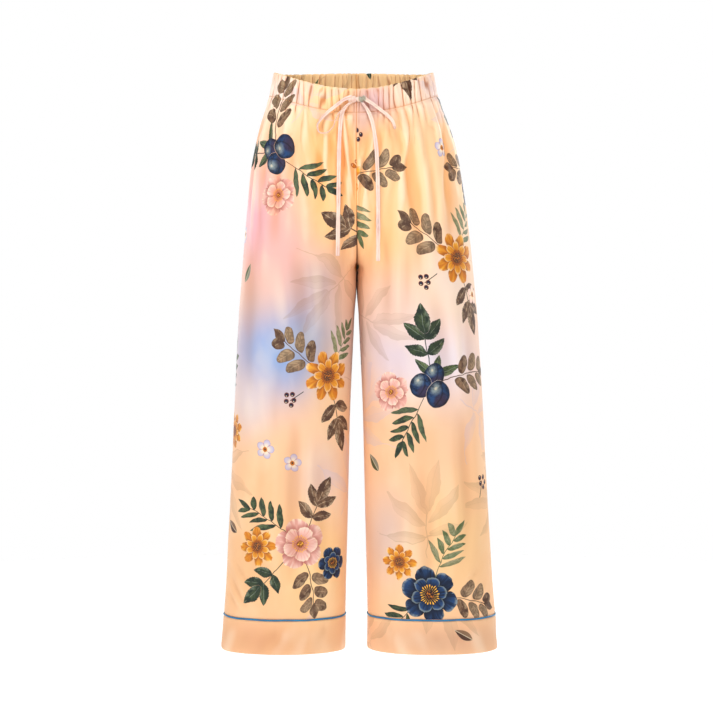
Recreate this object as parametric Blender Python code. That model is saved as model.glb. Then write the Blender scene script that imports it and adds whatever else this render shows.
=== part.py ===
"""Wide-leg satin pyjama trousers, hollow as worn, with a gathered cut-on waist casing,
piped hem bands and a flat drawstring tied in a bow.

Units are metres, +Z is up and the front faces -Y.  The origin is the centre of the
waist, level with the middle of the casing at the side seams.  Left and right are the
wearer's, so left is +X.  The front panels meet at x = 0, front and back at y = 0.
"""

import math
from collections import namedtuple

import bpy
from mathutils import Vector

# Waist and rise
WAIST_EDGE_Z = 0.021
FRONT_EDGE_DROP = 0.033
BACK_EDGE_RISE = 0.006
CASING_HEIGHT = 0.042
EDGE_LEVEL_Z = -0.230
CROTCH_CURVE_TOP_Z = -0.235
CROTCH_Z = -0.315
LEG_FORM_TOP_Z = -0.100
LEG_FORM_END_Z = -0.430

# Hems
PANEL_HEM_Z = -0.9370
PIPING_Z = -0.9388
PIPING_RADIUS = 0.0015
BAND_TOP_Z = -0.9406
BAND_HEM_Z = -1.0000

# Cloth walls, and the gap left at every seam
CASING_WALL = 0.0030
PANEL_WALL = 0.0012
SEAM_GAP = 0.0003
HALF_SEAM = SEAM_GAP / 2

# Roundness of the level sections: 2 is an ellipse, more is squarer
HIP_ROUND = 2.3
LEG_ROUND = 2.15

# Gathers: a column is a third of a gather, and below the casing they join in pairs
GATHERS_A_PANEL = 14
COLUMNS_A_GATHER = 3
FINE_COLUMNS = GATHERS_A_PANEL * COLUMNS_A_GATHER
COARSE_COLUMNS = FINE_COLUMNS // 2
EVEN_SPREAD = 0.08
CASING_GATHER = 0.0018
PUFF_GATHER = 0.0028
PAIRED_GATHER = 0.0034
CASING_EDGE_SHARE = 0.55
UNEVEN_TURN = 2.4
UNEVEN_SHARE = 0.25
PAIRED_UNEVEN_SHARE = 0.4

# Depths below the stitch line where gathers start, are full, stay full until, and end
Fade = namedtuple("Fade", "start full kept end")
PUFF_FADE = Fade(0.0, 0.008, 0.012, 0.085)
PAIRED_FADE = Fade(0.004, 0.055, 0.080, 0.215)

# The casing's folded top edge, the share of a panel that its seam holds flat, and the
# step that finds the cloth's direction
EDGE_ROUNDING = 0.0010
SEAM_CALM = 0.07
NUDGE = 0.004

# Outline of the worn cloth at its levels: half widths from the centre seam, half the
# gap between the legs, and the depths in front of and behind the side seams
Section = namedtuple("Section", "z right left gap front back")
SECTIONS = (
    Section(0.021, 0.1465, 0.1365, 0.0002, 0.0900, 0.0920),
    Section(-0.027, 0.1560, 0.1460, 0.0002, 0.0945, 0.1000),
    Section(-0.063, 0.1665, 0.1600, 0.0002, 0.1000, 0.1090),
    Section(-0.098, 0.1755, 0.1720, 0.0002, 0.1045, 0.1170),
    Section(-0.134, 0.1825, 0.1800, 0.0002, 0.1080, 0.1230),
    Section(-0.205, 0.1915, 0.1920, 0.0002, 0.1110, 0.1280),
    Section(-0.276, 0.1985, 0.2010, 0.0002, 0.1110, 0.1260),
    Section(-0.347, 0.2040, 0.2080, 0.0008, 0.1090, 0.1200),
    Section(-0.419, 0.2090, 0.2150, 0.0034, 0.1060, 0.1140),
    Section(-0.561, 0.2165, 0.2240, 0.0107, 0.0980, 0.1030),
    Section(-0.668, 0.2215, 0.2290, 0.0134, 0.0920, 0.0960),
    Section(-0.775, 0.2270, 0.2360, 0.0158, 0.0870, 0.0900),
    Section(-0.882, 0.2325, 0.2430, 0.0185, 0.0830, 0.0850),
    Section(-0.953, 0.2380, 0.2490, 0.0198, 0.0810, 0.0830),
    Section(-1.000, 0.2415, 0.2520, 0.0205, 0.0800, 0.0820),
)

# The largest folds, as soft troughs: where each starts and ends, how deep it is and
# half its width.  x is measured from the centre seam towards the side.
Fold = namedtuple("Fold", "panel top_x top_z end_x end_z depth half_width")
FOLDS = (
    Fold("front_leg_left", 0.095, -0.090, 0.109, -0.350, 0.0065, 0.013),
    Fold("front_leg_left", 0.147, -0.085, 0.166, -0.290, 0.0055, 0.011),
    Fold("front_leg_left", 0.051, -0.250, 0.047, -0.440, 0.0050, 0.013),
    Fold("front_leg_left", 0.125, -0.320, 0.163, -0.600, 0.0050, 0.017),
    Fold("front_leg_left", 0.106, -0.660, 0.128, -0.900, 0.0050, 0.017),
    Fold("front_leg_right", 0.060, -0.060, 0.066, -0.180, 0.0045, 0.009),
    Fold("front_leg_right", 0.135, -0.110, 0.150, -0.300, 0.0035, 0.014),
    Fold("front_leg_right", 0.188, -0.250, 0.192, -0.540, 0.0045, 0.013),
    Fold("front_leg_right", 0.098, -0.270, 0.090, -0.470, 0.0035, 0.016),
    Fold("front_leg_right", 0.104, -0.570, 0.110, -0.880, 0.0060, 0.017),
    Fold("back_leg_left", 0.070, -0.090, 0.078, -0.270, 0.0055, 0.013),
    Fold("back_leg_left", 0.128, -0.100, 0.150, -0.360, 0.0060, 0.013),
    Fold("back_leg_left", 0.060, -0.310, 0.098, -0.540, 0.0060, 0.015),
    Fold("back_leg_left", 0.120, -0.560, 0.126, -0.880, 0.0055, 0.017),
    Fold("back_leg_right", 0.048, -0.080, 0.052, -0.230, 0.0050, 0.011),
    Fold("back_leg_right", 0.112, -0.100, 0.132, -0.340, 0.0060, 0.014),
    Fold("back_leg_right", 0.058, -0.300, 0.088, -0.500, 0.0060, 0.015),
    Fold("back_leg_right", 0.128, -0.500, 0.118, -0.860, 0.0055, 0.017),
)

Panel = namedtuple("Panel", "name side facing width depth")
PANELS = (
    Panel("front_leg_right", -1, -1, "right", "front"),
    Panel("front_leg_left", 1, -1, "left", "front"),
    Panel("back_leg_right", -1, 1, "right", "back"),
    Panel("back_leg_left", 1, 1, "left", "back"),
)

# Rows of the panels, as depths below the waist edge down to the end of the gathers and
# then as levels.  Between them the crotch curve is cut into equal angles.
CASING_ROWS = (0.0, 0.004, 0.021, 0.037, 0.042)
PUFF_ROWS = (0.048, 0.072, 0.105)
HIP_LEVELS = (-0.125, -0.160, -0.197)
CROTCH_CURVE_STEPS = 5
LEG_LEVELS = (-0.345, -0.380, -0.420, -0.475, -0.535, -0.600, -0.665, -0.730, -0.795,
              -0.855, -0.900, PANEL_HEM_Z)

# Hem bands: level, and how far the doubled cloth stands off the leg's outline
BandRow = namedtuple("BandRow", "z out inner_out")
BAND_ROWS = (
    BandRow(BAND_TOP_Z, -0.0003, -0.0019),
    BandRow(-0.9440, 0.0004, -0.0018),
    BandRow(-0.9700, 0.0003, -0.0018),
    BandRow(-0.9970, 0.0006, -0.0018),
    BandRow(BAND_HEM_Z, -0.0004, -0.0012),
)
PIPING_SIDES = 6

# Drawstring: a flat tie.  Routes give x, z and how far the tie lies off the cloth.
TIE_WIDTH = 0.0075
TIE_THICKNESS = 0.0014
LOOP_WIDTH = 0.0060
TIE_STEP = 0.013
KNOT_CENTRE = Vector((0.0015, -0.0996, -0.0305))
KNOT_SIZE = Vector((0.0080, 0.0042, 0.0052))
RoutePoint = namedtuple("RoutePoint", "x z off")
TAIL_RIGHT_ROUTE = (
    RoutePoint(-0.0060, -0.0339, 0.0050),
    RoutePoint(-0.0185, -0.0435, 0.0058),
    RoutePoint(-0.0258, -0.0590, 0.0063),
    RoutePoint(-0.0291, -0.0968, 0.0069),
    RoutePoint(-0.0303, -0.1367, 0.0064),
    RoutePoint(-0.0310, -0.2000, 0.0055),
    RoutePoint(-0.0325, -0.3000, 0.0045),
)
TAIL_LEFT_ROUTE = (
    RoutePoint(0.0082, -0.0342, 0.0050),
    RoutePoint(0.0190, -0.0490, 0.0058),
    RoutePoint(0.0269, -0.0690, 0.0065),
    RoutePoint(0.0325, -0.1000, 0.0065),
    RoutePoint(0.0355, -0.1376, 0.0060),
    RoutePoint(0.0372, -0.2069, 0.0050),
    RoutePoint(0.0372, -0.3090, 0.0040),
)
LOOP_RIGHT_ROUTE = (
    RoutePoint(-0.0072, -0.0268, 0.0080),
    RoutePoint(-0.0200, -0.0305, 0.0095),
    RoutePoint(-0.0347, -0.0412, 0.0090),
    RoutePoint(-0.0563, -0.0593, 0.0080),
    RoutePoint(-0.0668, -0.0750, 0.0075),
    RoutePoint(-0.0640, -0.0872, 0.0075),
    RoutePoint(-0.0520, -0.0888, 0.0075),
    RoutePoint(-0.0405, -0.0780, 0.0080),
    RoutePoint(-0.0330, -0.0590, 0.0110),
    RoutePoint(-0.0215, -0.0455, 0.0122),
    RoutePoint(-0.0100, -0.0385, 0.0105),
)
LOOP_LEFT_ROUTE = (
    RoutePoint(0.0107, -0.0272, 0.0080),
    RoutePoint(0.0170, -0.0317, 0.0115),
    RoutePoint(0.0288, -0.0394, 0.0162),
    RoutePoint(0.0400, -0.0481, 0.0192),
    RoutePoint(0.0513, -0.0569, 0.0212),
    RoutePoint(0.0598, -0.0648, 0.0223),
    RoutePoint(0.0640, -0.0725, 0.0225),
    RoutePoint(0.0658, -0.0785, 0.0200),
    RoutePoint(0.0666, -0.0810, 0.0140),
    RoutePoint(0.0658, -0.0785, 0.0080),
    RoutePoint(0.0640, -0.0725, 0.0056),
    RoutePoint(0.0590, -0.0645, 0.0056),
    RoutePoint(0.0500, -0.0562, 0.0058),
    RoutePoint(0.0390, -0.0474, 0.0060),
    RoutePoint(0.0280, -0.0388, 0.0058),
    RoutePoint(0.0185, -0.0316, 0.0054),
    RoutePoint(0.0116, -0.0262, 0.0052),
)

# Finishes: base colour, roughness
Finish = namedtuple("Finish", "name colour roughness")
SATIN = Finish("satin", (0.90, 0.66, 0.45, 1.0), 0.42)
BAND_SATIN = Finish("band_satin", (0.86, 0.60, 0.45, 1.0), 0.40)
PIPING_SATIN = Finish("piping_satin", (0.03, 0.17, 0.38, 1.0), 0.45)
TIE_SATIN = Finish("tie_satin", (0.90, 0.74, 0.66, 1.0), 0.45)


# ------------------------------------------------------------------ small helpers

def smooth_step(start, end, value):
    """0 at start, 1 at end, easing in and out between them."""
    share = min(max((value - start) / (end - start), 0.0), 1.0)
    return share * share * (3 - 2 * share)


def mix(start, end, share):
    return start + (end - start) * share


def at_level(column, z):
    """A column of the outline's table at a height, on one smooth curve."""
    count = len(SECTIONS)
    z = min(max(z, SECTIONS[-1].z), SECTIONS[0].z)
    upper = 0
    while upper < count - 2 and z < SECTIONS[upper + 1].z:
        upper += 1

    def value(index):
        return getattr(SECTIONS[index], column)

    def slope(index):
        before = max(index - 1, 0)
        after = min(index + 1, count - 1)
        return (value(after) - value(before)) / (SECTIONS[after].z - SECTIONS[before].z)

    span = SECTIONS[upper + 1].z - SECTIONS[upper].z
    share = (z - SECTIONS[upper].z) / span
    start_weight = (1 + 2 * share) * (1 - share) ** 2
    end_weight = share ** 2 * (3 - 2 * share)
    start_bend = share * (1 - share) ** 2 * span
    end_bend = share ** 2 * (share - 1) * span
    return (start_weight * value(upper) + end_weight * value(upper + 1)
            + start_bend * slope(upper) + end_bend * slope(upper + 1))


# ------------------------------------------------------------------ the cloth's form

def leg_share(across, z):
    """0 where the section is a hip's, 1 where it is a leg's.

    On the centre seam it follows the crotch curve; away from it the change is longer.
    """
    top = mix(CROTCH_CURVE_TOP_Z, LEG_FORM_TOP_Z, smooth_step(0, 0.60, across))
    bottom = mix(CROTCH_Z, LEG_FORM_END_Z, smooth_step(0, 0.35, across))
    drop = min(max((top - z) / (top - bottom), 0.0), 1.0)
    curve = 1 - math.sqrt(1 - drop * drop)
    return mix(curve, smooth_step(0, 1, drop), smooth_step(0, 0.12, across))


def across_at(v, z):
    """How far across the half width a column lies: even round the waist and the leg."""
    angle = math.pi / 2 * (v - EVEN_SPREAD * math.sin(math.pi * v))
    waist = math.sin(angle)
    leg = (1 - math.cos(math.pi * v)) / 2
    return mix(waist, leg, smooth_step(WAIST_EDGE_Z, CROTCH_Z, z))


def reach_at(across, z):
    """How much of the full depth the level section reaches at a place across it."""
    hip = max(1 - across ** HIP_ROUND, 0) ** (1 / HIP_ROUND)
    leg = max(1 - abs(2 * across - 1) ** LEG_ROUND, 0) ** (1 / LEG_ROUND)
    return mix(hip, leg, leg_share(across, z))


def smooth_point(panel, v, z, seam=HALF_SEAM):
    """The cloth without gathers or folds.  v runs from the centre or inseam to the side."""
    across = across_at(v, z)
    gap = at_level("gap", z)
    x = gap + (at_level(panel.width, z) - gap) * across
    y = seam + (at_level(panel.depth, z) - seam) * reach_at(across, z)
    return Vector((panel.side * x, panel.facing * y, z))


def level_normal(panel, v, z):
    """The outward direction of the smooth cloth, kept level."""
    ahead = smooth_point(panel, min(v + NUDGE, 1), z)
    behind = smooth_point(panel, max(v - NUDGE, 0), z)
    run = ahead - behind
    turn = -panel.side * panel.facing
    return Vector((run.y * turn, -run.x * turn, 0)).normalized()


def edge_level(panel, v, depth_below):
    """The height of a row: the waist edge dips in front, and lower rows run level."""
    level = WAIST_EDGE_Z - depth_below
    across = across_at(v, WAIST_EDGE_Z)
    centre = math.cos(math.pi / 2 * across)
    shift = BACK_EDGE_RISE if panel.facing > 0 else -FRONT_EDGE_DROP
    keep = 1 - smooth_step(WAIST_EDGE_Z - CASING_HEIGHT, EDGE_LEVEL_Z, level)
    return level + shift * centre * keep


def within(fade, depth):
    """1 inside a fade's full stretch, easing to 0 at both its ends."""
    rise = smooth_step(fade.start, fade.full, depth)
    return rise * (1 - smooth_step(fade.kept, fade.end, depth))


def gather_relief(panel, v, depth_below):
    """Gathers of the casing, the puffs under its stitch line and the folds they join into."""
    number = v * GATHERS_A_PANEL
    turn = UNEVEN_TURN * round(number) + 1.7 * panel.side + 0.9 * panel.facing
    height = 1 - UNEVEN_SHARE + UNEVEN_SHARE * math.sin(turn)
    wave = math.cos(2 * math.pi * number)
    below = depth_below - CASING_HEIGHT
    if below <= 0:
        arch = math.sin(math.pi * depth_below / CASING_HEIGHT)
        return CASING_GATHER * mix(CASING_EDGE_SHARE, 1, arch) * height * wave
    paired_height = 1 - PAIRED_UNEVEN_SHARE * (1 - math.sin(turn))
    paired_wave = math.cos(math.pi * number)
    return (PUFF_GATHER * within(PUFF_FADE, below) * height * wave
            + PAIRED_GATHER * within(PAIRED_FADE, below) * paired_height * paired_wave)


def fold_relief(panel, point):
    """The long folds, all soft troughs."""
    relief = 0.0
    for fold in FOLDS:
        if fold.panel != panel.name or not fold.end_z < point.z < fold.top_z:
            continue
        share = (fold.top_z - point.z) / (fold.top_z - fold.end_z)
        middle = fold.top_x + (fold.end_x - fold.top_x) * share
        aside = (abs(point.x) - middle) / fold.half_width
        relief -= fold.depth * math.sin(math.pi * share) ** 0.8 * math.exp(-aside * aside)
    return relief


def seam_calm(v):
    """0 on the panel's edges, where the seam holds the cloth flat, and 1 away from them."""
    return smooth_step(0, SEAM_CALM, v) * smooth_step(0, SEAM_CALM, 1 - v)


def cloth_points(panel, v, depth_below, wall):
    """The outer and inner points of a panel's wall."""
    z = edge_level(panel, v, depth_below)
    point = smooth_point(panel, v, z)
    normal = level_normal(panel, v, z)
    relief = gather_relief(panel, v, depth_below) + fold_relief(panel, point)
    if depth_below == 0:
        relief -= EDGE_ROUNDING
    outer = point + normal * relief * seam_calm(v)
    inner = outer - normal * wall
    gap = at_level("gap", z)
    for corner in (outer, inner):
        corner.x = panel.side * max(corner.x * panel.side, gap)
        corner.y = panel.facing * max(corner.y * panel.facing, HALF_SEAM)
    return outer, inner


# ------------------------------------------------------------------ meshes

def finish_material(finish):
    """A plain satin finish, made once."""
    material = bpy.data.materials.get(finish.name)
    if material is None:
        material = bpy.data.materials.new(finish.name)
        material.use_nodes = True
        shader = material.node_tree.nodes["Principled BSDF"]
        shader.inputs["Base Color"].default_value = finish.colour
        shader.inputs["Roughness"].default_value = finish.roughness
        shader.inputs["Metallic"].default_value = 0.0
    return material


def add_object(name, points, faces, finish, flip=False):
    """A named object from points and faces, shaded smooth."""
    if flip:
        faces = [tuple(reversed(face)) for face in faces]
    mesh = bpy.data.meshes.new(name)
    mesh.from_pydata([tuple(point) for point in points], [], faces)
    mesh.update()
    mesh.shade_smooth()
    mesh.set_sharp_from_angle(angle=math.radians(50))
    mesh.materials.append(finish_material(finish))
    body = bpy.data.objects.new(name, mesh)
    bpy.context.scene.collection.objects.link(body)
    return body


def strip(upper, lower):
    """Faces between two rows of point numbers, where the lower has as many or half."""
    if len(upper) == len(lower):
        return [(upper[i], lower[i], lower[i + 1], upper[i + 1])
                for i in range(len(upper) - 1)]
    faces = []
    for i in range(len(lower) - 1):
        middle = upper[2 * i + 1]
        faces.append((upper[2 * i], lower[i], middle))
        faces.append((middle, lower[i], lower[i + 1]))
        faces.append((middle, lower[i + 1], upper[2 * i + 2]))
    return faces


def reverse_faces(faces):
    return [tuple(reversed(face)) for face in faces]


# ------------------------------------------------------------------ leg panels

def panel_rows():
    """Each row's depth below the waist edge, its number of columns and its wall."""
    rows = [(depth, FINE_COLUMNS, CASING_WALL) for depth in CASING_ROWS]
    rows += [(depth, FINE_COLUMNS, PANEL_WALL) for depth in PUFF_ROWS]
    levels = list(HIP_LEVELS)
    height = CROTCH_CURVE_TOP_Z - CROTCH_Z
    for step in range(CROTCH_CURVE_STEPS + 1):
        angle = math.pi / 2 * step / CROTCH_CURVE_STEPS
        levels.append(CROTCH_CURVE_TOP_Z - height * math.sin(angle))
    levels += LEG_LEVELS
    rows += [(WAIST_EDGE_Z - level, COARSE_COLUMNS, PANEL_WALL) for level in levels]
    return rows


def build_panel(panel):
    """One front or back leg with the casing cut on to it, as a closed wall."""
    points = []
    outer_rows = []
    inner_rows = []
    for depth, columns, wall in panel_rows():
        outer_row = []
        inner_row = []
        for column in range(columns + 1):
            outer, inner = cloth_points(panel, column / columns, depth, wall)
            outer_row.append(len(points))
            points.append(outer)
            inner_row.append(len(points))
            points.append(inner)
        outer_rows.append(outer_row)
        inner_rows.append(inner_row)
    faces = []
    for row in range(len(outer_rows) - 1):
        faces += strip(outer_rows[row], outer_rows[row + 1])
        faces += reverse_faces(strip(inner_rows[row], inner_rows[row + 1]))
    faces += strip(inner_rows[0], outer_rows[0])
    faces += strip(outer_rows[-1], inner_rows[-1])
    for end in (0, -1):
        outer_edge = [row[end] for row in outer_rows]
        inner_edge = [row[end] for row in inner_rows]
        edge_faces = strip(outer_edge, inner_edge)
        faces += reverse_faces(edge_faces) if end else edge_faces
    flip = panel.side * panel.facing > 0
    return add_object(panel.name, points, faces, SATIN, flip)


# ------------------------------------------------------------------ hem bands, piping

def leg_ring(side, z, out, columns):
    """Points round one leg at a level, moved out from the outline, from the inseam."""
    front = next(p for p in PANELS if p.side == side and p.facing < 0)
    back = next(p for p in PANELS if p.side == side and p.facing > 0)
    ring = []
    for column in range(2 * columns):
        panel = front if column <= columns else back
        v = column / columns if column <= columns else 2 - column / columns
        point = smooth_point(panel, v, z, seam=0.0)
        normal = level_normal(panel, v, z)
        if v in (0, 1):
            normal = Vector((side * (2 * v - 1), 0, 0))
        ring.append(point + normal * out)
    return ring


def closed_loops(points, loops, wrap):
    """Faces between neighbouring loops of points, the last joined to the first if asked."""
    count = len(loops[0])
    pairs = list(zip(loops, loops[1:]))
    if wrap:
        pairs.append((loops[-1], loops[0]))
    return [(upper[i], lower[i], lower[(i + 1) % count], upper[(i + 1) % count])
            for upper, lower in pairs for i in range(count)]


def ring_object(name, side, rings, finish):
    """A closed ring of cloth from loops that go round its wall."""
    points = []
    loops = []
    for ring in rings:
        loops.append(list(range(len(points), len(points) + len(ring))))
        points += ring
    faces = closed_loops(points, loops, wrap=True)
    return add_object(name, points, faces, finish, flip=side < 0)


def build_band(side, name):
    """The doubled strip that finishes a leg: down its outside, then up its inside."""
    rings = [leg_ring(side, row.z, row.out, COARSE_COLUMNS) for row in BAND_ROWS]
    rings += [leg_ring(side, row.z, row.inner_out, COARSE_COLUMNS)
              for row in reversed(BAND_ROWS)]
    return ring_object(name, side, rings, BAND_SATIN)


def build_piping(side, name):
    """The covered cord in the seam above a band."""
    rings = []
    for step in range(PIPING_SIDES):
        angle = math.pi / 2 - 2 * math.pi * step / PIPING_SIDES
        z = PIPING_Z + PIPING_RADIUS * math.sin(angle)
        out = PIPING_RADIUS * (math.cos(angle) - 0.2)
        rings.append(leg_ring(side, z, out, COARSE_COLUMNS))
    return ring_object(name, side, rings, PIPING_SATIN)


# ------------------------------------------------------------------ drawstring

def curve_through(points, step):
    """Points about a step apart on a smooth curve through the route's own points."""
    smooth = [points[0]]
    for i in range(len(points) - 1):
        before = points[max(i - 1, 0)]
        start = points[i]
        end = points[i + 1]
        after = points[min(i + 2, len(points) - 1)]
        pieces = max(1, round((end - start).length / step))
        for piece in range(1, pieces + 1):
            t = piece / pieces
            smooth.append(0.5 * (2 * start + (end - before) * t
                                 + (2 * before - 5 * start + 4 * end - after) * t ** 2
                                 + (3 * start - before - 3 * end + after) * t ** 3))
    return smooth


def off_front(route_point):
    """The place in front of the cloth at a route point, clear of the gathers' crests."""
    side = "left" if route_point.x > 0 else "right"
    across = min(abs(route_point.x) / at_level(side, route_point.z), 1)
    y = at_level("front", route_point.z) * reach_at(across, CROTCH_CURVE_TOP_Z)
    return Vector((route_point.x, -(y + route_point.off), route_point.z))


def build_tie(name, route, width):
    """A flat strip along a route, with its broad side to the front."""
    path = curve_through([off_front(point) for point in route], TIE_STEP)
    points = []
    across = Vector((0, 0, 0))
    for i, place in enumerate(path):
        run = path[min(i + 1, len(path) - 1)] - path[max(i - 1, 0)]
        before = across
        across = run.cross(Vector((0, -1, 0))).normalized() * width / 2
        if across.dot(before) < 0:
            across = -across
        thick = across.cross(run).normalized() * TIE_THICKNESS / 2
        points += [place + across + thick, place - across + thick,
                   place - across - thick, place + across - thick]
    faces = [(0, 1, 2, 3)]
    for i in range(len(path) - 1):
        for side in range(4):
            first = 4 * i + side
            second = 4 * i + (side + 1) % 4
            faces.append((second, first, first + 4, second + 4))
    last = 4 * (len(path) - 1)
    faces.append((last + 3, last + 2, last + 1, last))
    return add_object(name, points, faces, TIE_SATIN)


def build_knot():
    """The knot's lump, wider than it is deep."""
    rings = 5
    sides = 10
    points = [KNOT_CENTRE + Vector((-KNOT_SIZE.x, 0, 0))]
    for ring in range(1, rings + 1):
        polar = math.pi * ring / (rings + 1)
        for side in range(sides):
            turn = 2 * math.pi * side / sides
            points.append(KNOT_CENTRE + Vector((-KNOT_SIZE.x * math.cos(polar),
                                                KNOT_SIZE.y * math.sin(polar) * math.cos(turn),
                                                KNOT_SIZE.z * math.sin(polar) * math.sin(turn))))
    points.append(KNOT_CENTRE + Vector((KNOT_SIZE.x, 0, 0)))
    last = len(points) - 1
    faces = []
    for side in range(sides):
        after = (side + 1) % sides
        faces.append((0, 1 + after, 1 + side))
        for ring in range(rings - 1):
            start = 1 + ring * sides
            faces.append((start + side, start + after, start + sides + after,
                          start + sides + side))
        start = 1 + (rings - 1) * sides
        faces.append((start + side, start + after, last))
    return add_object("tie_knot", points, faces, TIE_SATIN)


# ------------------------------------------------------------------ the whole garment

def build():
    for old in list(bpy.data.objects):
        bpy.data.objects.remove(old, do_unlink=True)
    for panel in PANELS:
        build_panel(panel)
    for side, label in ((-1, "right"), (1, "left")):
        build_piping(side, "piping_" + label)
        build_band(side, "hem_band_" + label)
    build_knot()
    build_tie("tie_tail_right", TAIL_RIGHT_ROUTE, TIE_WIDTH)
    build_tie("tie_tail_left", TAIL_LEFT_ROUTE, TIE_WIDTH)
    build_tie("tie_loop_right", LOOP_RIGHT_ROUTE, LOOP_WIDTH)
    build_tie("tie_loop_left", LOOP_LEFT_ROUTE, LOOP_WIDTH)


build()
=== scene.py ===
"""The finished look of a pair of wide-leg satin pyjama trousers, hollow as worn.

Units are metres, +Z is up and the front faces -Y.  Left and right are the wearer's, so
left is +X.  Every cloth piece is a fine shell on the form of its solid: the same level
sections, gathers and folds, with finer ones added.
"""

import math
from collections import namedtuple
from functools import partial

import bpy
import numpy as np
from mathutils import Matrix, Vector


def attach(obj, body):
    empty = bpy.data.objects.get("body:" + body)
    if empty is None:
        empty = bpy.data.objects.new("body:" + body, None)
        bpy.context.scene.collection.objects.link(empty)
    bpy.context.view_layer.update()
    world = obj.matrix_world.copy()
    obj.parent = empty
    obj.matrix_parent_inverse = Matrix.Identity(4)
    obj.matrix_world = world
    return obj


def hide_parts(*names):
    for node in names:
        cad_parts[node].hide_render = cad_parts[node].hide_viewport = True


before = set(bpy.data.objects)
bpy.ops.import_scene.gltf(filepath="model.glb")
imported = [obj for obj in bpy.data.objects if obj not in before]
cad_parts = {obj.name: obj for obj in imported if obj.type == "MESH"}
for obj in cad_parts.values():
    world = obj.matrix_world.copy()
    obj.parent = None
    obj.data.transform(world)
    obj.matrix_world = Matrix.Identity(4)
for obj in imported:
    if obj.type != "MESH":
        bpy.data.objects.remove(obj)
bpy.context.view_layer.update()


def table(columns, *rows):
    """Rows of values under named columns."""
    row_type = namedtuple("Row", columns)
    return [row_type(*row) for row in rows]


def in_metres(columns, *rows):
    """The same, from rows written in millimetres."""
    return table(columns, *([value / 1000 for value in row] for row in rows))


# ------------------------------------------------------------------ sizes

WAIST_EDGE_Z = 0.021
FRONT_EDGE_DROP = 0.033
BACK_EDGE_RISE = 0.006
CASING_HEIGHT = 0.042
STITCH_DEPTH = 0.0408
EDGE_LEVEL_Z = -0.230
CROTCH_CURVE_TOP_Z = -0.235
CROTCH_Z = -0.315
LEG_FORM_TOP_Z = -0.100
LEG_FORM_END_Z = -0.430

PANEL_HEM_Z = -0.9370
PIPING_Z = -0.9388
PIPING_RADIUS = 0.0015
BAND_TOP_Z = -0.9404
BAND_HEM_Z = -1.0000

TIE_WIDTH = 0.0075
TIE_PRINT = Vector((0.0098, 0.0, -0.0300))
CLOTH = 0.0005
CASING_WALL = 0.0026
SEAM_SHOWN = 0.00005
SEAM_ALLOWANCE = 0.006

HIP_ROUND = 2.3
LEG_ROUND = 2.15

GATHERS_A_PANEL = 14
EVEN_SPREAD = 0.08
CASING_GATHER = 0.0024
PUFF_GATHER = 0.0034
PAIRED_GATHER = 0.0034
CASING_EDGE_SHARE = 0.60
CASING_SUNK = 0.0012
SEAM_CALM = 0.05
NUDGE = 0.002

Fade = namedtuple("Fade", "start full kept end")
PAIRED_FADE = Fade(0.004, 0.055, 0.080, 0.330)

# The outline at each height: its reach to the right and left, half the gap between the
# legs, and its depth in front and behind
Section = namedtuple("Section", "z right left gap front back")
SECTIONS = (
    Section(0.021, 0.1465, 0.1365, 0.0002, 0.0900, 0.0920),
    Section(-0.027, 0.1560, 0.1460, 0.0002, 0.0945, 0.1000),
    Section(-0.063, 0.1665, 0.1600, 0.0002, 0.1000, 0.1090),
    Section(-0.098, 0.1755, 0.1720, 0.0002, 0.1045, 0.1170),
    Section(-0.134, 0.1825, 0.1800, 0.0002, 0.1080, 0.1230),
    Section(-0.205, 0.1915, 0.1920, 0.0002, 0.1110, 0.1280),
    Section(-0.276, 0.1985, 0.2010, 0.0002, 0.1110, 0.1260),
    Section(-0.347, 0.2040, 0.2080, 0.0012, 0.1090, 0.1200),
    Section(-0.419, 0.2090, 0.2150, 0.0041, 0.1060, 0.1140),
    Section(-0.561, 0.2165, 0.2240, 0.0107, 0.0980, 0.1030),
    Section(-0.668, 0.2215, 0.2290, 0.0134, 0.0920, 0.0960),
    Section(-0.775, 0.2270, 0.2360, 0.0158, 0.0870, 0.0900),
    Section(-0.882, 0.2325, 0.2430, 0.0185, 0.0830, 0.0850),
    Section(-0.953, 0.2380, 0.2490, 0.0198, 0.0810, 0.0830),
    Section(-1.000, 0.2415, 0.2520, 0.0205, 0.0800, 0.0820),
)

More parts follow.
